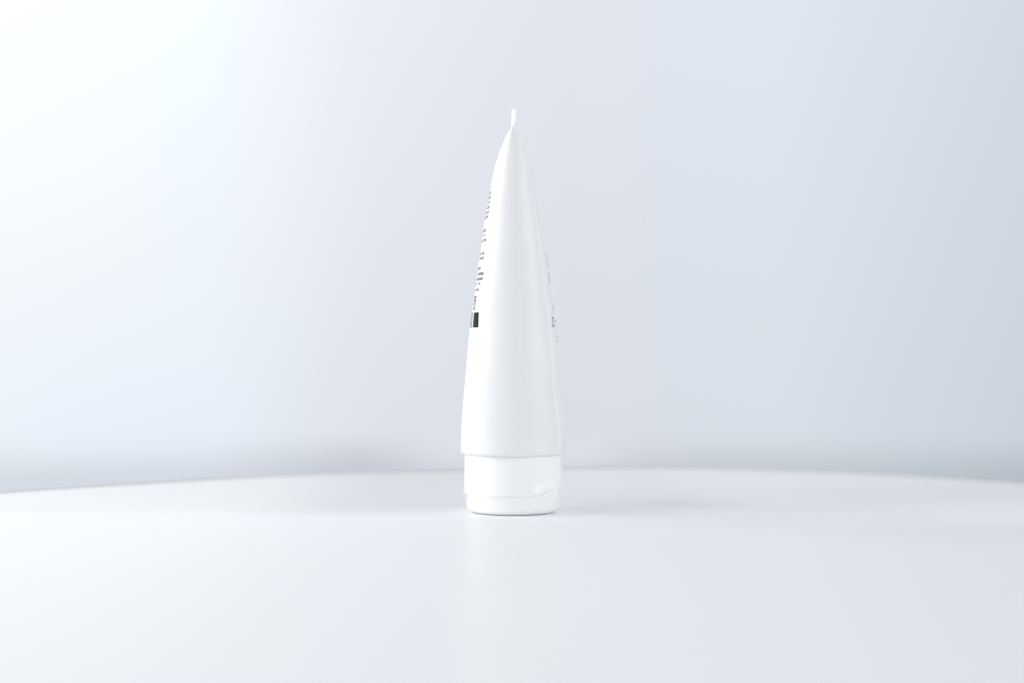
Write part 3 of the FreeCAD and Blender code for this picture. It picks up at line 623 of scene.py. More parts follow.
def base_loop():
    loop = [(2.0, 7.9), (2.0, 6.5), (2.0, 4.5), (2.0, 3.6)]
    loop += fillet(2.15, 3.55, 0.15, 180, 270, 4)
    loop += fillet(2.8, 3.7, 0.3, 270, 360, 5)
    loop += [(3.3, 4.7), (3.5, 5.7), (3.58, 6.0)]
    loop += fillet(3.98, 6.0, 0.4, 180, 90, 5)
    loop += [(5.5, 6.4), (9.0, 6.4), (12.5, 6.4), (15.0, 6.4)]
    loop += fillet(16.4, 6.7, 0.3, 270, 360, 5)
    z0 = SPLIT + 0.02
    loop += [(16.7, z0 - 0.3), (16.72, z0 - 0.12), (16.85, z0)]
    out = [(r, z) for r, z in loop]
    deg = ANGLES

    def wall(z):
        z = np.broadcast_to(z, deg.shape).astype(float)
        surface = skirt_radius(z)
        surface = surface - notch_depth(deg, z)
        return surface - pocket_depth(deg, z, surface), z

    # rim underside, then its eased outer edge
    foot = wall(z0 + 0.08)[0]
    out.append((16.85 + (foot - 0.08 - 16.85) * 0.5, z0))
    out.append((foot - 0.08, z0))
    out.append((foot - 0.024, z0 + 0.024))
    s = np.radians(np.abs(side_angle(deg))) * 18.5
    edge = notch_edge(s)
    hinge_side = np.abs(side_angle(deg - BACK)) < 60
    blend = smooth(60, 110, np.abs(side_angle(deg - BACK)))
    edge = edge * blend + 8.9 * (1 - blend)
    low = [0.0, 0.12, 0.26, 0.42, 0.58, 0.74, 0.88]
    for t in low:
        z = (z0 + 0.08) + (edge - 0.45 - z0 - 0.08) * t / 0.88 * 0.999 if t else np.full(len(deg), z0 + 0.08)
        out.append(wall(z))
    for d in (-0.36, -0.27, -0.18, -0.09, 0.0, 0.09, 0.18, 0.28, 0.4):
        out.append(wall(edge + d))
    for t in (0.06, 0.14, 0.26, 0.4, 0.55, 0.7, 0.85, 0.95):
        out.append(wall(edge + 0.4 + (21.75 - edge - 0.4) * t))
    out += fillet(18.48, 21.915, 0.03, 0, 90, 3)
    out += [(17.85, 21.945), (17.72, 21.90), (17.45, 21.57), (17.05, 21.57)]
    out += fillet(17.1, 21.37, 0.2, 90, 180, 3)[1:]
    out += [(16.9, 18.0), (16.9, 14.0), (16.9, 10.5)]
    out += fillet(15.8, 9.0, 1.1, 0, -90, 6)
    out += [(13.5, 7.9), (11.2, 7.9), (10.75, 7.95), (10.6, 8.3), (10.5, 12.0), (10.5, 15.9)]
    out += fillet(10.3, 16.0, 0.2, 0, 90, 3)
    out += [(9.5, 16.2), (9.12, 15.7), (9.12, 15.1), (9.55, 14.8), (9.55, 11.0), (9.55, 7.9), (7.0, 7.9), (4.0, 7.9)]
    return out


def lid_loop():
    deg = ANGLES
    out = [(0.5, 0.0), (4.0, 0.0), (8.0, 0.0), (11.5, 0.0), (13.3, 0.0), (14.1, 0.0)]
    for d in (82, 76, 70, 64, 58, 52, 46, 40, 34, 28, 22, 16, 10, 5):
        c, w = math.cos(math.radians(d)) ** 0.84, math.sin(math.radians(d)) ** 0.84
        out.append((14.1 + 3.68 * c, 3.2 - 3.2 * w))
    top = SPLIT - 0.02
    s = np.radians(np.abs(side_angle(deg))) * 18.5
    # in the notch the rim stands a little higher, and the thumb lip rises from a small
    # ledge behind it and flares outward
    step = 0.40 * smooth(0.0, 0.45, 20.80 - s)
    grow = smooth(0.0, 4.0, 18.1 - s)
    lift = 1.14 * grow

    def wall(z):
        z = np.broadcast_to(z, deg.shape).astype(float)
        r = 17.80 + (z - 3.2) * (18.48 - 17.80) / (7.1 - 3.2)
        r = np.minimum(r, 18.46)
        return r - pocket_depth(deg, z, r), z

    for z in (3.35, 4.0, 4.7, 4.9, 5.0, 5.1, 5.4, 6.2, 6.7, 6.95):
        out.append(wall(z))
    out.append(wall(6.98 + step * 0.5))
    rim = wall(top - 0.08 + step)
    r = rim[0]
    out.append(rim)
    out.append((r - 0.024, top - 0.024 + step))
    out.append((r - 0.08, top + step))
    foot = r - 0.09 - 0.34 * grow
    out.append((foot, top + step + 0.002 * grow))
    out.append((foot - 0.002 + 0.01 * grow, top + step + 0.12 * lift))
    out.append((foot - 0.004 + 0.13 * grow, top + step + 0.50 * lift))
    out.append((foot - 0.006 + 0.30 * grow, top + step + 0.86 * lift))
    out.append((foot - 0.008 + 0.32 * grow, top + step + 0.95 * lift))
    out.append((foot - 0.014 + 0.27 * grow, top + step + lift))
    inside = np.minimum(r - 0.36, 17.88)
    out.append((inside, top + step + lift))
    out.append((inside - 0.04, top + (step + lift) * 0.85))
    out.append((inside - 0.08, top + (step + lift) * 0.40))
    out.append((inside - 0.10, top + 0.004))
    out.append((inside - 0.16, np.full(len(deg), top)))
    out += [(17.27, top), (17.185, top - 0.035), (17.15, top - 0.12), (17.0, 6.0), (16.75, 4.8)]
    out += [(16.5, 3.7)] + fillet(14.4, 3.3, 2.0, 0, -90, 8)
    out += [(12.0, 1.3), (8.0, 1.3), (4.0, 1.3), (2.3, 1.3)]
    out += fillet(2.1, 1.8, 0.5, 270, 180, 4)
    out += [(1.6, 2.6), (1.6, 3.6), (1.55, 3.9), (1.35, 4.35), (1.2, 4.52), (1.0, 4.6), (0.45, 4.6)]
    return out


cap_base_tab = wedge(
    [
        (16.95, 7.32), (17.72, 7.26), (17.86, 7.05), (18.70, 7.05), (18.92, 7.16), (18.96, 7.42), (18.90, 7.75), (18.62, 8.5), (18.30, 9.2), (18.15, 9.3), (17.6, 9.3), (16.95, 9.25),
    ],
    5.3,
)
film = []
for k in range(10):
    t = 2 * math.pi * k / 10
    film.append((18.95 + 0.16 * math.cos(t), SPLIT + 0.16 * math.sin(t)))
film_bar = wedge(film, 5.3, edge=0.05)
lid_tab = wedge(
    [
        (17.3, 4.85), (17.5, 4.8), (17.62, 4.85), (18.05, 5.5), (18.88, 6.68), (18.9, 6.78), (18.9, 6.90), (18.82, 6.98), (17.4, 6.98), (17.3, 6.92),
    ],
    5.3,
)

base_piece = new_mesh("cap_base_shell", *join(lathe("b", base_loop()), cap_base_tab, film_bar))
lid_piece = new_mesh("cap_lid_shell", *join(lathe("l", lid_loop(), end_caps=True), lid_tab))
for piece, node, body in ((base_piece, "cap_base", "tube"), (lid_piece, "cap_lid", "lid")):
    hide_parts(node)
    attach(piece, body)


def face_outward(obj):
    """Turns every face of each closed shell outward."""
    import bmesh

    bm = bmesh.new()
    bm.from_mesh(obj.data)
    bmesh.ops.remove_doubles(bm, verts=bm.verts, dist=1e-8)
    bmesh.ops.recalc_face_normals(bm, faces=bm.faces)
    open_edges = sum(1 for e in bm.edges if len(e.link_faces) != 2)
    volume = bm.calc_volume(signed=True)
    print(obj.name, "faces", len(bm.faces), "open edges", open_edges, "volume cm3 %.3f" % (volume * 1e6))
    bm.to_mesh(obj.data)
    bm.free()
    return open_edges


for piece in (sleeve, base_piece, lid_piece):
    face_outward(piece)


# ---------------------------------------------------------------------------
# Materials
# ---------------------------------------------------------------------------
def sleeve_material():
    n = Nodes("sleeve_gloss_white")
    where = n.object_coords()
    uvmap = n.nodes.new("ShaderNodeUVMap")
    uvmap.uv_map = "unrolled"
    split = n.nodes.new("ShaderNodeSeparateXYZ")
    n.links.new(uvmap.outputs[0], split.inputs[0])
    u = n.math("MULTIPLY", split.outputs[0], 200.0)
    v = n.math("MULTIPLY", split.outputs[1], 200.0)
    # front panel: u from its middle, positive towards +X; back panel likewise
    front = n.math("SUBTRACT", n.math("MODULO", n.math("ADD", u, OUTLINE / 2), OUTLINE), OUTLINE / 2)
    back = n.math("SUBTRACT", OUTLINE / 2, u)  # positive towards +X seen from the front

    # ---- back panel: rows of short dashes like set text, without any letters.
    # Each row: centre height, reach towards -X and towards +X from the panel's middle
    def text_rows(rows, low_v, high_v):
        ramp = n.nodes.new("ShaderNodeValToRGB")
        ramp.color_ramp.interpolation = "CONSTANT"
        elements = ramp.color_ramp.elements
        elements[0].position, elements[0].color = 0.0, (0, 0, 0, 1)
        elements.remove(elements[1])
        for centre, left, right in rows:
            for edge, colour in ((centre - 0.56, (left / 25, right / 25, 1, 1)), (centre + 0.56, (0, 0, 0, 1))):
                stop = elements.new((edge - low_v) / (high_v - low_v))
                stop.color = colour
        n.put(ramp.inputs[0], n.math("DIVIDE", n.math("SUBTRACT", v, low_v), high_v - low_v))
        reach = n.nodes.new("ShaderNodeSeparateColor")
        n.links.new(ramp.outputs[0], reach.inputs[0])
        left_of = n.math("GREATER_THAN", back, n.math("MULTIPLY", reach.outputs[0], -25.0))
        right_of = n.math("LESS_THAN", back, n.math("MULTIPLY", reach.outputs[1], 25.0))
        return n.math("MULTIPLY", n.math("MULTIPLY", left_of, right_of), reach.outputs[2])

    lower = text_rows(
        [
            (84.2, 15.35, 12.5), (86.5, 15.85, 15.6), (88.25, 17.65, 16.0), (90.1, 18.25, 16.2), (92.3, 14.8, 15.8),
            (95.9, 17.4, 15.4), (97.7, 17.55, 13.6), (102.5, 18.7, 15.0),
        ],
        80.0,
        103.5,
    )
    upper = text_rows(
        [
            (104.6, 17.05, 12.6), (106.3, 17.55, 14.4), (111.2, 19.0, 13.0), (113.0, 19.3, 16.6), (114.8, 19.65, 16.0),
            (116.7, 19.45, 16.2), (118.5, 19.5, 15.4), (120.25, 18.9, 11.5), (122.8, 11.5, 8.0),
        ],
        103.5,
        125.0,
    )
    in_row = n.math("MAXIMUM", lower, upper)
    row_id = n.math("FLOOR", n.math("MULTIPLY", v, 0.56))
    letter = n.white(n.math("FLOOR", n.math("MULTIPLY", back, 1.9)), row_id)
    wobble = n.math("ADD", back, n.math("MULTIPLY", n.white(row_id, 7.3), 3.0))
    word = n.white(n.math("FLOOR", n.math("MULTIPLY", wobble, 0.62)), n.math("ADD", row_id, 31.7))
    inked = n.math("MULTIPLY", n.math("GREATER_THAN", letter, 0.12), n.math("GREATER_THAN", word, 0.10))
    # the outermost dashes of every row are always there
    inked = n.math("MAXIMUM", inked, n.math("LESS_THAN", back, -15.2))
    stroke = n.white(n.math("FLOOR", n.math("MULTIPLY", back, 5.1)), n.math("FLOOR", n.math("MULTIPLY", v, 3.1)))
    text = n.math("MULTIPLY", n.math("MULTIPLY", in_row, inked), n.math("MULTIPLY_ADD", stroke, 0.28, 0.72))

    # ---- back panel: an upright row of ticks, a plain block and stripes beside it
    ticks = n.math("MULTIPLY_ADD", n.white(n.math("FLOOR", n.math("MULTIPLY", v, 1.6)), 3.0), 0.40, 0.58)
    side = n.math("MULTIPLY", n.box(back, v, -12.7, -6.0, 76.7, 82.1), ticks)
    solid = n.box(back, v, -16.15, -10.9, 70.1, 75.8)
    slits = n.add(n.box(back, v, -14.7, -14.45, 70.5, 75.5), n.box(back, v, -12.7, -12.5, 70.5, 75.5))
    solid = n.math("MULTIPLY", solid, n.math("MULTIPLY_ADD", slits, -0.10, 1.0))
    bar = n.white(n.math("FLOOR", n.math("MULTIPLY", back, 2.1)), 11.0)
    stripes = n.math("MULTIPLY", n.box(back, v, -7.6, 12.0, 70.1, 75.9), n.math("GREATER_THAN", bar, 0.42))
    block = n.add(solid, n.box(back, v, -9.3, -8.3, 70.1, 75.8), stripes)

    # ---- front panel: plain bars, dashes and one outlined box
    fronts = []
    for x0, x1, z0, z1 in (
        (-7.6, -3.6, 93.1, 98.9), (-2.2, 3.0, 93.1, 98.9), (4.4, 7.6, 93.1, 98.9), (9.0, 12.6, 93.1, 98.9),
        (-9.9, -5.5, 86.9, 91.2), (-4.0, 4.8, 86.9, 91.2), (6.2, 9.9, 86.9, 91.2),
    ):
        fronts.append(n.box(front, v, x0, x1, z0, z1))
    # the first bar of the upper row has a slanting end
    slant = n.math("MULTIPLY_ADD", v, -0.431, 29.63)
    first_bar = n.math("MULTIPLY", n.box(front, v, -13.2, -8.8, 93.1, 98.9), n.math("GREATER_THAN", front, n.math("MULTIPLY", slant, -1.0)))
    bars = n.add(first_bar, *fronts)
    upper = n.math("GREATER_THAN", v, 92.0)
    rules = n.add(n.box(front, v, -9.2, -8.0, 76.0, 79.0), n.box(front, v, -6.8, 9.2, 77.2, 77.8))
    frame_out = n.box(front, v, -12.4, -9.4, 70.4, 74.1)
    frame_in = n.box(front, v, -11.8, -10.0, 71.0, 73.5)
    outlined = n.math("SUBTRACT", frame_out, frame_in)
    note = n.box(front, v, -8.2, 12.2, 72.2, 72.9)
    small = n.add(n.box(front, v, -8.4, 6.0, 66.3, 66.9), n.box(front, v, -8.2, 9.0, 64.8, 65.4))

    base = (0.832, 0.838, 0.842, 1.0)
    grain = n.noise(where, 900.0, 2.0)
    cloudy = n.noise(where, 38.0, 3.0)
    tone = n.mix(n.math("MULTIPLY", cloudy, 0.35), base, (0.842, 0.846, 0.848, 1.0))
    # painted light: the thin welded tail's colour is lifted to near white, standing in for the key light that shows
    # through it
    thin_painted_light = n.slide(v, 142.4, 143.6, 0.0, 1.0)
    tone = n.mix(thin_painted_light, tone, (0.955, 0.96, 0.965, 1.0))
    dark = (0.006, 0.0065, 0.008, 1.0)
    grey = (0.055, 0.06, 0.07, 1.0)
    light = (0.30, 0.31, 0.33, 1.0)
    colour = n.mix(n.math("MULTIPLY", text, 0.97), tone, (0.03, 0.033, 0.04, 1.0))
    colour = n.mix(side, colour, (0.05, 0.055, 0.065, 1.0))
    colour = n.mix(block, colour, dark)
    colour = n.mix(n.math("MULTIPLY", bars, n.math("MULTIPLY_ADD", upper, 0.32, 0.68)), colour, light)
    colour = n.mix(n.math("MULTIPLY", n.math("MULTIPLY", bars, upper), 0.55), colour, grey)
    colour = n.mix(n.math("MULTIPLY", n.add(rules, note), 0.8), colour, light)
    colour = n.mix(n.math("MULTIPLY", small, 0.52), colour, light)
    colour = n.mix(n.math("MULTIPLY", outlined, 0.88), colour, grey)
    n.put(n.bsdf.inputs["Base Color"], colour)
    ink = n.add(text, side, block, bars, rules, outlined, note, small)
    rough = n.math("MULTIPLY_ADD", cloudy, 0.05, 0.13)
    rough = n.math("MULTIPLY_ADD", ink, 0.25, rough)
    n.put(n.bsdf.inputs["Roughness"], rough)
    n.bsdf.inputs["IOR"].default_value = 1.51
    n.put(n.bsdf.inputs["Specular IOR Level"], n.math("MULTIPLY_ADD", n.math("MAXIMUM", block, side), -0.43, 0.5))
    # the welded tail is thin and milky: light from one side shows through it
    n.put(n.bsdf.inputs["Subsurface Weight"], thin_painted_light)
    n.bsdf.inputs["Subsurface Radius"].default_value = (1.0, 1.0, 1.0)
    n.bsdf.inputs["Subsurface Scale"].default_value = 0.0016
    ripple = n.noise(where, 260.0, 2.0)
    first = n.bump(ripple, 0.06, 0.0005)
    n.put(n.bsdf.inputs["Normal"], n.bump(grain, 0.05, 0.00012, first))
    return n.mat


def moulded_material(name, base, rough, fine=1500.0, soft=0.0):
    n = Nodes(name)
    where = n.object_coords()
    cloudy = n.noise(where, 60.0, 3.0)
    fine_noise = n.noise(where, fine, 2.0)
    flow = n.noise(where, 240.0, 2.0)
    n.put(n.bsdf.inputs["Base Color"], n.mix(n.math("MULTIPLY", cloudy, 0.5), base, tuple(c * 0.985 for c in base[:3]) + (1.0,)))
    n.put(n.bsdf.inputs["Roughness"], n.math("MULTIPLY_ADD", cloudy, 0.08, rough))
    n.bsdf.inputs["IOR"].default_value = 1.49
    if soft:
        n.bsdf.inputs["Subsurface Weight"].default_value = 0.6
        n.bsdf.inputs["Subsurface Radius"].default_value = (1.0, 1.0, 1.0)
        n.bsdf.inputs["Subsurface Scale"].default_value = soft
        # painted glow: a weak emission on the thin skirt in the thumb notch stands in for the light that shows through
        # it there
        axis = n.nodes.new("ShaderNodeSeparateXYZ")
        n.links.new(where, axis.inputs[0])
        px, py, pz = axis.outputs[0], axis.outputs[1], axis.outputs[2]
        radius = n.math("SQRT", n.math("ADD", n.math("MULTIPLY", px, px), n.math("MULTIPLY", py, py)))
        skirt = n.math("MULTIPLY_ADD", pz, -0.0115, 0.018765)
        thin_painted_light = n.slide(n.math("SUBTRACT", skirt, radius), 0.00020, 0.00042, 0.0, 1.0)
        thin_painted_light = n.math("MULTIPLY", thin_painted_light, n.math("GREATER_THAN", radius, 0.0171))
        thin_painted_light = n.math("MULTIPLY", thin_painted_light, n.math("LESS_THAN", py, 0.0))
        thin_painted_light = n.math("MULTIPLY", thin_painted_light, n.slide(pz, 0.0072, 0.0084, 0.0, 1.0))
        side = n.slide(n.math("ABSOLUTE", px), 0.0125, 0.0150, 0.038, 0.066)
        n.bsdf.inputs["Emission Color"].default_value = (1.0, 1.0, 1.0, 1.0)
        n.put(n.bsdf.inputs["Emission Strength"], n.math("MULTIPLY", thin_painted_light, side))
    first = n.bump(flow, 0.05, 0.0005)
    n.put(n.bsdf.inputs["Normal"], n.bump(fine_noise, 0.08, 0.00010, first))
    return n.mat


def cream_material():
    n = Nodes("cream_soft")
    where = n.object_coords()
    swirl = n.noise(where, 120.0, 4.0)
    n.put(n.bsdf.inputs["Base Color"], n.mix(swirl, (0.86, 0.83, 0.76, 1.0), (0.89, 0.87, 0.82, 1.0)))
    n.put(n.bsdf.inputs["Roughness"], n.math("MULTIPLY_ADD", swirl, 0.15, 0.28))
    n.put(n.bsdf.inputs["Normal"], n.bump(swirl, 0.3, 0.0008))
    return n.mat


def give(obj, material):
    obj.data.materials.clear()
    obj.data.materials.append(material)


give(sleeve, sleeve_material())
cap_plastic = moulded_material("cap_white_painted_glow", (0.958, 0.968, 0.970, 1.0), 0.18, soft=0.0003)
give(base_piece, cap_plastic)
give(lid_piece, cap_plastic)
head_plastic = moulded_material("head_white", (0.74, 0.75, 0.745, 1.0), 0.42)
for node, material in (("tube_head", head_plastic), ("cream_fill", cream_material())):
    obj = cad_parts[node]
    for slot in obj.material_slots:
        slot.material = material


# ---------------------------------------------------------------------------
# Camera: level, at the photograph's distance, looking along +X at the sleeve's edge
# ---------------------------------------------------------------------------
camera_data = bpy.data.cameras.new("camera")
camera_data.sensor_width = 36.0
camera_data.lens = 1640.0 / 1024.0 * 36.0
camera = bpy.data.objects.new("camera", camera_data)
scene.collection.objects.link(camera)
camera.location = (-0.626, 0.0005, 0.0649)
camera.rotation_euler = (math.radians(90), 0, math.radians(-90))
scene.camera = camera


# ---------------------------------------------------------------------------
# Stage: a round white table top and a pale surround
# ---------------------------------------------------------------------------
def table():
    steps = 360
    centre = Vector((-0.098, -0.036, 0.0))
    turn = np.arange(steps) * 2 * math.pi / steps
    bearing = (np.degrees(turn) + 180.0) % 360.0 - 180.0
    # the outline: nearly round, millimetres from the centre at the middle of the soft rim
    marks = [-180, -60, -41.2, -36.9, -31.8, -27.8, -24.1, -18.5, -12.9, -7.2, -1.5, 6, 14.2, 20, 26, 32, 37.8, 43.7, 48.9, 55.4, 70, 180]
    radii = [300, 291, 292, 294.4, 300, 304.5, 306.3, 306, 307.5, 309.5, 305, 299, 295.3, 294.6, 295.3, 295.5, 296.2, 297.5, 301.5, 306.4, 310, 300]
    middle = monotone(marks, radii, bearing)
    half = monotone([0, 20, 30, 40, 56, 80, 180], [27, 24, 20.7, 16.8, 10.9, 8, 8], np.abs(bearing))
    profile = []
    for r, z, inward in (
        (np.full(steps, 0.5), 0.0, 1.0), (np.full(steps, 150.0), 0.0, 1.0), (middle - half, 0.0, 1.0), (middle + half - 3.5, 0.0, None),
        (middle + half - 1.0, -1.2, -1.0), (middle + half, -4.0, -1.0), (middle + half, -30.0, -1.0),
    ):
        if inward is None:
            inward = -1.0 + 3.5 / half
        profile.append((r, z, np.broadcast_to(inward, steps)))
    verts = np.concatenate([
        np.stack([centre.x / MM + r * np.cos(turn), centre.y / MM + r * np.sin(turn), np.full(steps, z)], 1) for r, z, _ in profile
    ])
    inward = np.concatenate([w for _, _, w in profile])
    grid = np.arange(len(verts)).reshape(-1, steps).tolist()
    obj = new_mesh("table", verts, rings(grid))
    layer = obj.data.uv_layers.new(name="rim")
    loops = np.zeros(len(obj.data.loops), np.int32)
    obj.data.loops.foreach_get("vertex_index", loops)
    layer.data.foreach_set("uv", np.stack([0.5 + 0.5 * inward[loops], np.full(len(loops), 0.5)], 1).astype(np.float32).ravel())
    n = Nodes("table_white_painted_light")
    where = n.object_coords()
    # painted light and shade: a little lighter towards the window side, in a paler painted half shade behind the tube,
    # and falling off in painted shade towards its rounded rim
    axis = n.nodes.new("ShaderNodeSeparateXYZ")
    n.links.new(where, axis.inputs[0])
    tone = n.mix(n.slide(axis.outputs[1], -0.20, 0.20, 0.0, 1.0), (0.730, 0.755, 0.776, 1.0), (0.795, 0.818, 0.842, 1.0))
    px, py = axis.outputs[0], axis.outputs[1]

    def blend(a, b, factor):
        return n.math("MULTIPLY_ADD", n.math("SUBTRACT", b, a), factor, a)

    # the half shade behind the tube: far right, right, left, far left
    far_right = n.math("MULTIPLY", n.slide(px, -0.075, -0.025, 1.0, 1.09), n.slide(px, -0.010, 0.100, 1.0, 0.845))
    right = n.math("MULTIPLY", n.slide(px, -0.050, -0.010, 1.0, 1.12), n.slide(px, -0.005, 0.035, 1.0, 0.77))
    left = n.slide(px, -0.030, 0.012, 0.975, 0.835)
    far_left = n.slide(px, -0.020, 0.020, 1.0, 0.945)
    depth = blend(far_right, right, n.slide(py, -0.110, -0.055, 0.0, 1.0))
    depth = blend(depth, left, n.slide(py, -0.020, 0.025, 0.0, 1.0))
    depth = blend(depth, far_left, n.slide(py, 0.060, 0.115, 0.0, 1.0))
    # painted light and shade far behind the tube: lighter on the right, darker on the left
    rise = n.math("MULTIPLY", n.slide(px, 0.03, 0.14, 0.0, 1.0), n.slide(py, -0.04, 0.05, 0.065, -0.03))
    depth = n.math("MULTIPLY", depth, n.math("ADD", rise, 1.0))
    rim = n.nodes.new("ShaderNodeUVMap")
    rim.uv_map = "rim"
    inside = n.nodes.new("ShaderNodeSeparateXYZ")
    n.links.new(rim.outputs[0], inside.inputs[0])
    # painted shade towards the rounded rim, stronger on the window side
    fade = n.slide(py, 0.0, 0.24, 0.22, 0.56)
    fade = n.math("MULTIPLY", fade, n.slide(inside.outputs[0], 0.0, 1.0, 1.0, 0.0))
    depth = n.math("MULTIPLY", depth, n.math("SUBTRACT", 1.0, fade))
    # painted light: lighter close round the tube's foot, softening its contact shadow
    close = n.math("SQRT", n.math("ADD", n.math("MULTIPLY", px, px), n.math("MULTIPLY", py, py)))
    depth = n.math("MULTIPLY", depth, n.slide(close, 0.017, 0.034, 1.07, 1.0))
    depth = n.math("MULTIPLY", depth, n.slide(close, 0.0155, 0.0180, 1.15, 1.0))
    shade = n.nodes.new("ShaderNodeVectorMath")
    shade.operation = "SCALE"
    n.links.new(tone, shade.inputs[0])
    n.links.new(depth, shade.inputs["Scale"])
    n.links.new(shade.outputs[0], n.bsdf.inputs["Base Color"])
    n.put(n.bsdf.inputs["Roughness"], n.math("MULTIPLY_ADD", n.noise(where, 9.0, 2.0), 0.08, 0.30))
    n.bsdf.inputs["Specular IOR Level"].default_value = 0.12
    n.put(n.bsdf.inputs["Normal"], n.bump(n.noise(where, 420.0, 2.0), 0.03, 0.0003))
    give(obj, n.mat)
    return obj


table()

world = bpy.data.worlds.new("surround")
scene.world = world
world.use_nodes = True
tree = world.node_tree
background = tree.nodes["Background"]
coords = tree.nodes.new("ShaderNodeTexCoord")
split = tree.nodes.new("ShaderNodeSeparateXYZ")
tree.links.new(coords.outputs["Generated"], split.inputs[0])


def spread(socket, low, high, to_low, to_high):
    node = tree.nodes.new("ShaderNodeMapRange")
    node.interpolation_type = "SMOOTHSTEP"
    node.inputs["From Min"].default_value = low
    node.inputs["From Max"].default_value = high
    node.inputs["To Min"].default_value = to_low
    node.inputs["To Max"].default_value = to_high
    tree.links.new(socket, node.inputs["Value"])
    return node.outputs[0]


def tint(colour, factor):
    node = tree.nodes.new("ShaderNodeVectorMath")
    node.operation = "SCALE"
    if isinstance(colour, tuple):
        node.inputs[0].default_value = colour
    else:
        tree.links.new(colour, node.inputs[0])
    tree.links.new(factor, node.inputs["Scale"])
    return node.outputs[0]


def plus(socket, factor, offset):
    node = tree.nodes.new("ShaderNodeMath")
    node.operation = "MULTIPLY_ADD"
    tree.links.new(socket, node.inputs[0])
    if hasattr(factor, "links"):
        tree.links.new(factor, node.inputs[1])
    else:
        node.inputs[1].default_value = factor
    node.inputs[2].default_value = offset
    return node.outputs[0]


def towards(level, target, mask):
    """level, moved to the target value where the mask is 1."""
    node = tree.nodes.new("ShaderNodeMix")
    node.data_type = "FLOAT"
    tree.links.new(mask, node.inputs[0])
    if hasattr(level, "links"):
        tree.links.new(level, node.inputs[2])
    else:
        node.inputs[2].default_value = level
    node.inputs[3].default_value = target
    return node.outputs[0]


toward_x, toward_y, toward_z = split.outputs[0], split.outputs[1], split.outputs[2]
# the wall behind the tube: a pale blue-grey that lightens towards the window
across = tree.nodes.new("ShaderNodeMapRange")
across.inputs["From Min"].default_value = -0.32
across.inputs["From Max"].default_value = 0.32
tree.links.new(toward_y, across.inputs["Value"])
ramp = tree.nodes.new("ShaderNodeValToRGB")
stops = ramp.color_ramp.elements
stops[0].position, stops[0].color = 0.02, rgb(206, 214, 224)
stops[1].position, stops[1].color = 0.97, rgb(246, 251, 254)
for where, colour in ((0.25, (219, 227, 236)), (0.45, (222, 226, 235)), (0.625, (228, 232, 241)), (0.78, (240, 247, 252))):
    stop = stops.new(where)
    stop.color = rgb(*colour)
tree.links.new(across.outputs[0], ramp.inputs[0])
slope = spread(toward_y, 0.0, 0.25, 0.32, 0.75)
wall = tint(ramp.outputs[0], plus(plus(toward_z, 1.0, -0.08), slope, 1.0))
wall = tint(wall, spread(toward_z, -0.085, -0.052, 0.81, 1.0))


def across_wall(stops):
    """Colour factors at columns of the picture, from (column, r, g, b)."""
    node = tree.nodes.new("ShaderNodeValToRGB")
    elements = node.color_ramp.elements
    span = [(0.5 + (512 - column) / 1640 / 0.64, tuple(c / 1.25 for c in colour) + (1.0,)) for column, *colour in stops]
    span.sort()
    elements[0].position, elements[0].color = span[0]
    elements[1].position, elements[1].color = span[-1]
    for position, colour in span[1:-1]:
        mark = elements.new(position)
        mark.color = colour
    tree.links.new(across.outputs[0], node.inputs[0])
    scale = tree.nodes.new("ShaderNodeVectorMath")
    scale.operation = "SCALE"
    scale.inputs["Scale"].default_value = 1.25
    tree.links.new(node.outputs[0], scale.inputs[0])
    return scale.outputs[0]


def multiply(colour, factor, mask):
    node = tree.nodes.new("ShaderNodeMix")
    node.data_type = "RGBA"
    node.blend_type = "MULTIPLY"
    tree.links.new(mask, node.inputs[0])
    tree.links.new(colour, node.inputs[6])
    tree.links.new(factor, node.inputs[7])
    return node.outputs[2]


# low down the wall is bluer towards the window, and paler just behind the tube
window = across_wall([(0, 1.0, 1.02, 1.075), (200, 1.0, 1.015, 1.07), (330, 1.0, 1.0, 1.0), (1024, 1.0, 1.0, 1.0)])
wall = multiply(wall, window, spread(toward_z, -0.045, 0.055, 1.0, 0.0))
pale = across_wall([
    (0, 1.02, 1.02, 1.02), (180, 1.03, 1.03, 1.03), (260, 1.0, 1.0, 1.0), (310, 0.965, 0.97, 0.975), (360, 0.925, 0.935, 0.945),
    (400, 0.995, 1.0, 1.005), (430, 1.055, 1.06, 1.065), (450, 1.09, 1.09, 1.095), (512, 1.13, 1.13, 1.12),
    (580, 1.14, 1.135, 1.13), (600, 1.105, 1.105, 1.105), (640, 1.035, 1.03, 1.02), (700, 1.0, 1.0, 0.99), (900, 1.0, 1.0, 1.0),
    (1024, 0.965, 0.965, 0.965),
])
wall = multiply(wall, pale, spread(toward_z, -0.071, -0.052, 1.0, 0.0))
# the rest of the room: nearly white, brighter on the right than ahead
bearing = tree.nodes.new("ShaderNodeMath")
bearing.operation = "ARCTAN2"
tree.links.new(plus(toward_y, -1.0, 0.0), bearing.inputs[0])
tree.links.new(plus(toward_x, -1.0, 0.0), bearing.inputs[1])
around = tree.nodes.new("ShaderNodeValToRGB")
marks = around.color_ramp.elements
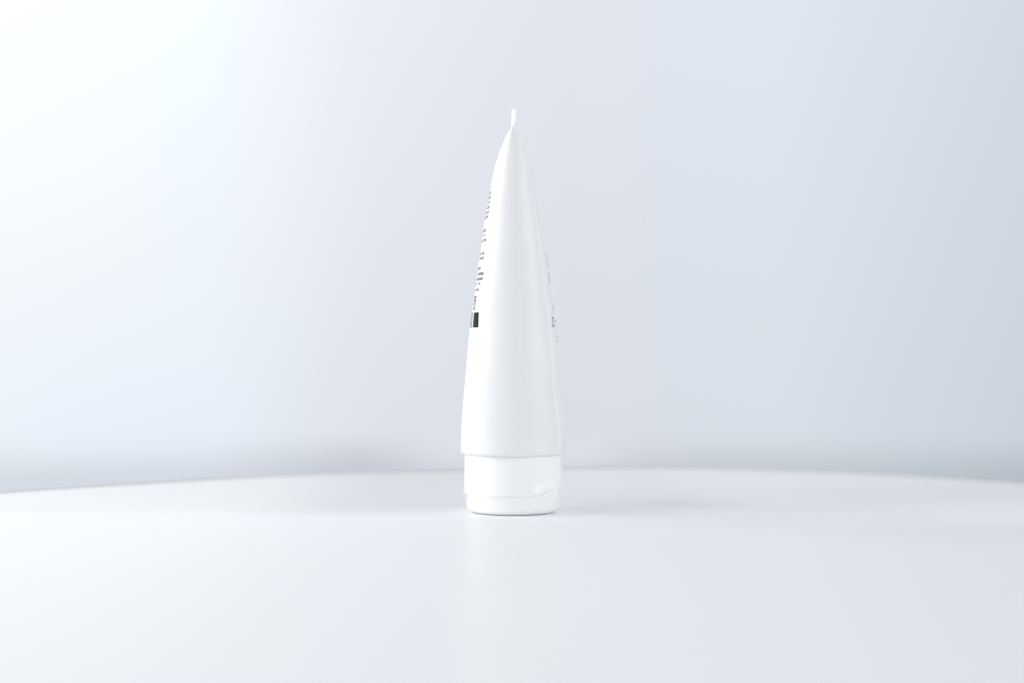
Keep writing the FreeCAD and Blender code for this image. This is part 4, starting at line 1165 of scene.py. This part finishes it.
# degrees from the camera's side, positive to the right, and a third of the brightness
lamps = [
    (-140, 0.117), (-100, 0.304), (-60, 0.563), (-25, 0.117), (5, 0.117), (30, 0.366),
    (50, 0.792), (70, 0.693), (90, 0.253), (108, 0.117), (126, 0.117), (144, 0.278),
]
marks[0].position, marks[1].position = (lamps[0][0] + 180) / 360, (lamps[-1][0] + 180) / 360
marks[0].color = (lamps[0][1],) * 3 + (1.0,)
marks[1].color = (lamps[-1][1],) * 3 + (1.0,)
for degrees, third in lamps[1:-1]:
    mark = marks.new((degrees + 180) / 360)
    mark.color = (third, third, third, 1.0)
tree.links.new(plus(bearing.outputs[0], 1 / (2 * math.pi), 0.5), around.inputs[0])
level = plus(around.outputs[0], 3.0, 0.0)
level = towards(level, 0.604, spread(toward_z, 0.45, 0.85, 0.0, 1.0))
level = towards(level, 0.782, spread(toward_z, -0.04, -0.12, 0.0, 1.0))
room = tint((0.989, 0.999, 1.022), level)
behind = spread(toward_x, 0.45, 0.80, 0.0, 1.0)
both = tree.nodes.new("ShaderNodeMix")
both.data_type = "RGBA"
tree.links.new(behind, both.inputs[0])
tree.links.new(room, both.inputs[6])
tree.links.new(wall, both.inputs[7])
tree.links.new(both.outputs[2], background.inputs["Color"])
background.inputs["Strength"].default_value = 1.0


def area(name, where, aim, size, power, colour=(1, 1, 1), seen=False, glossy=True):
    data = bpy.data.lights.new(name, "AREA")
    data.shape = "RECTANGLE"
    data.size, data.size_y = size
    data.energy = power
    data.color = colour
    obj = bpy.data.objects.new(name, data)
    scene.collection.objects.link(obj)
    obj.location = where
    obj.rotation_mode = "QUATERNION"
    obj.rotation_quaternion = (Vector(aim) - Vector(where)).to_track_quat("-Z", "Y")
    obj.visible_camera = seen
    obj.visible_glossy = glossy
    return obj


# large soft key from the left, and a narrow strip behind on the right
area("key", (0.04, 1.04, 0.55), (0, 0, 0.07), (1.0, 1.0), 11.26, (1.0, 0.995, 0.985))
area("strip", (0.40, -0.70, 0.2), (0, 0, 0.08), (0.035, 0.9), 0.29)

scene.view_settings.view_transform = "Standard"
scene.view_settings.look = "None"
scene.view_settings.exposure = 0.0
scene.view_settings.gamma = 1.0
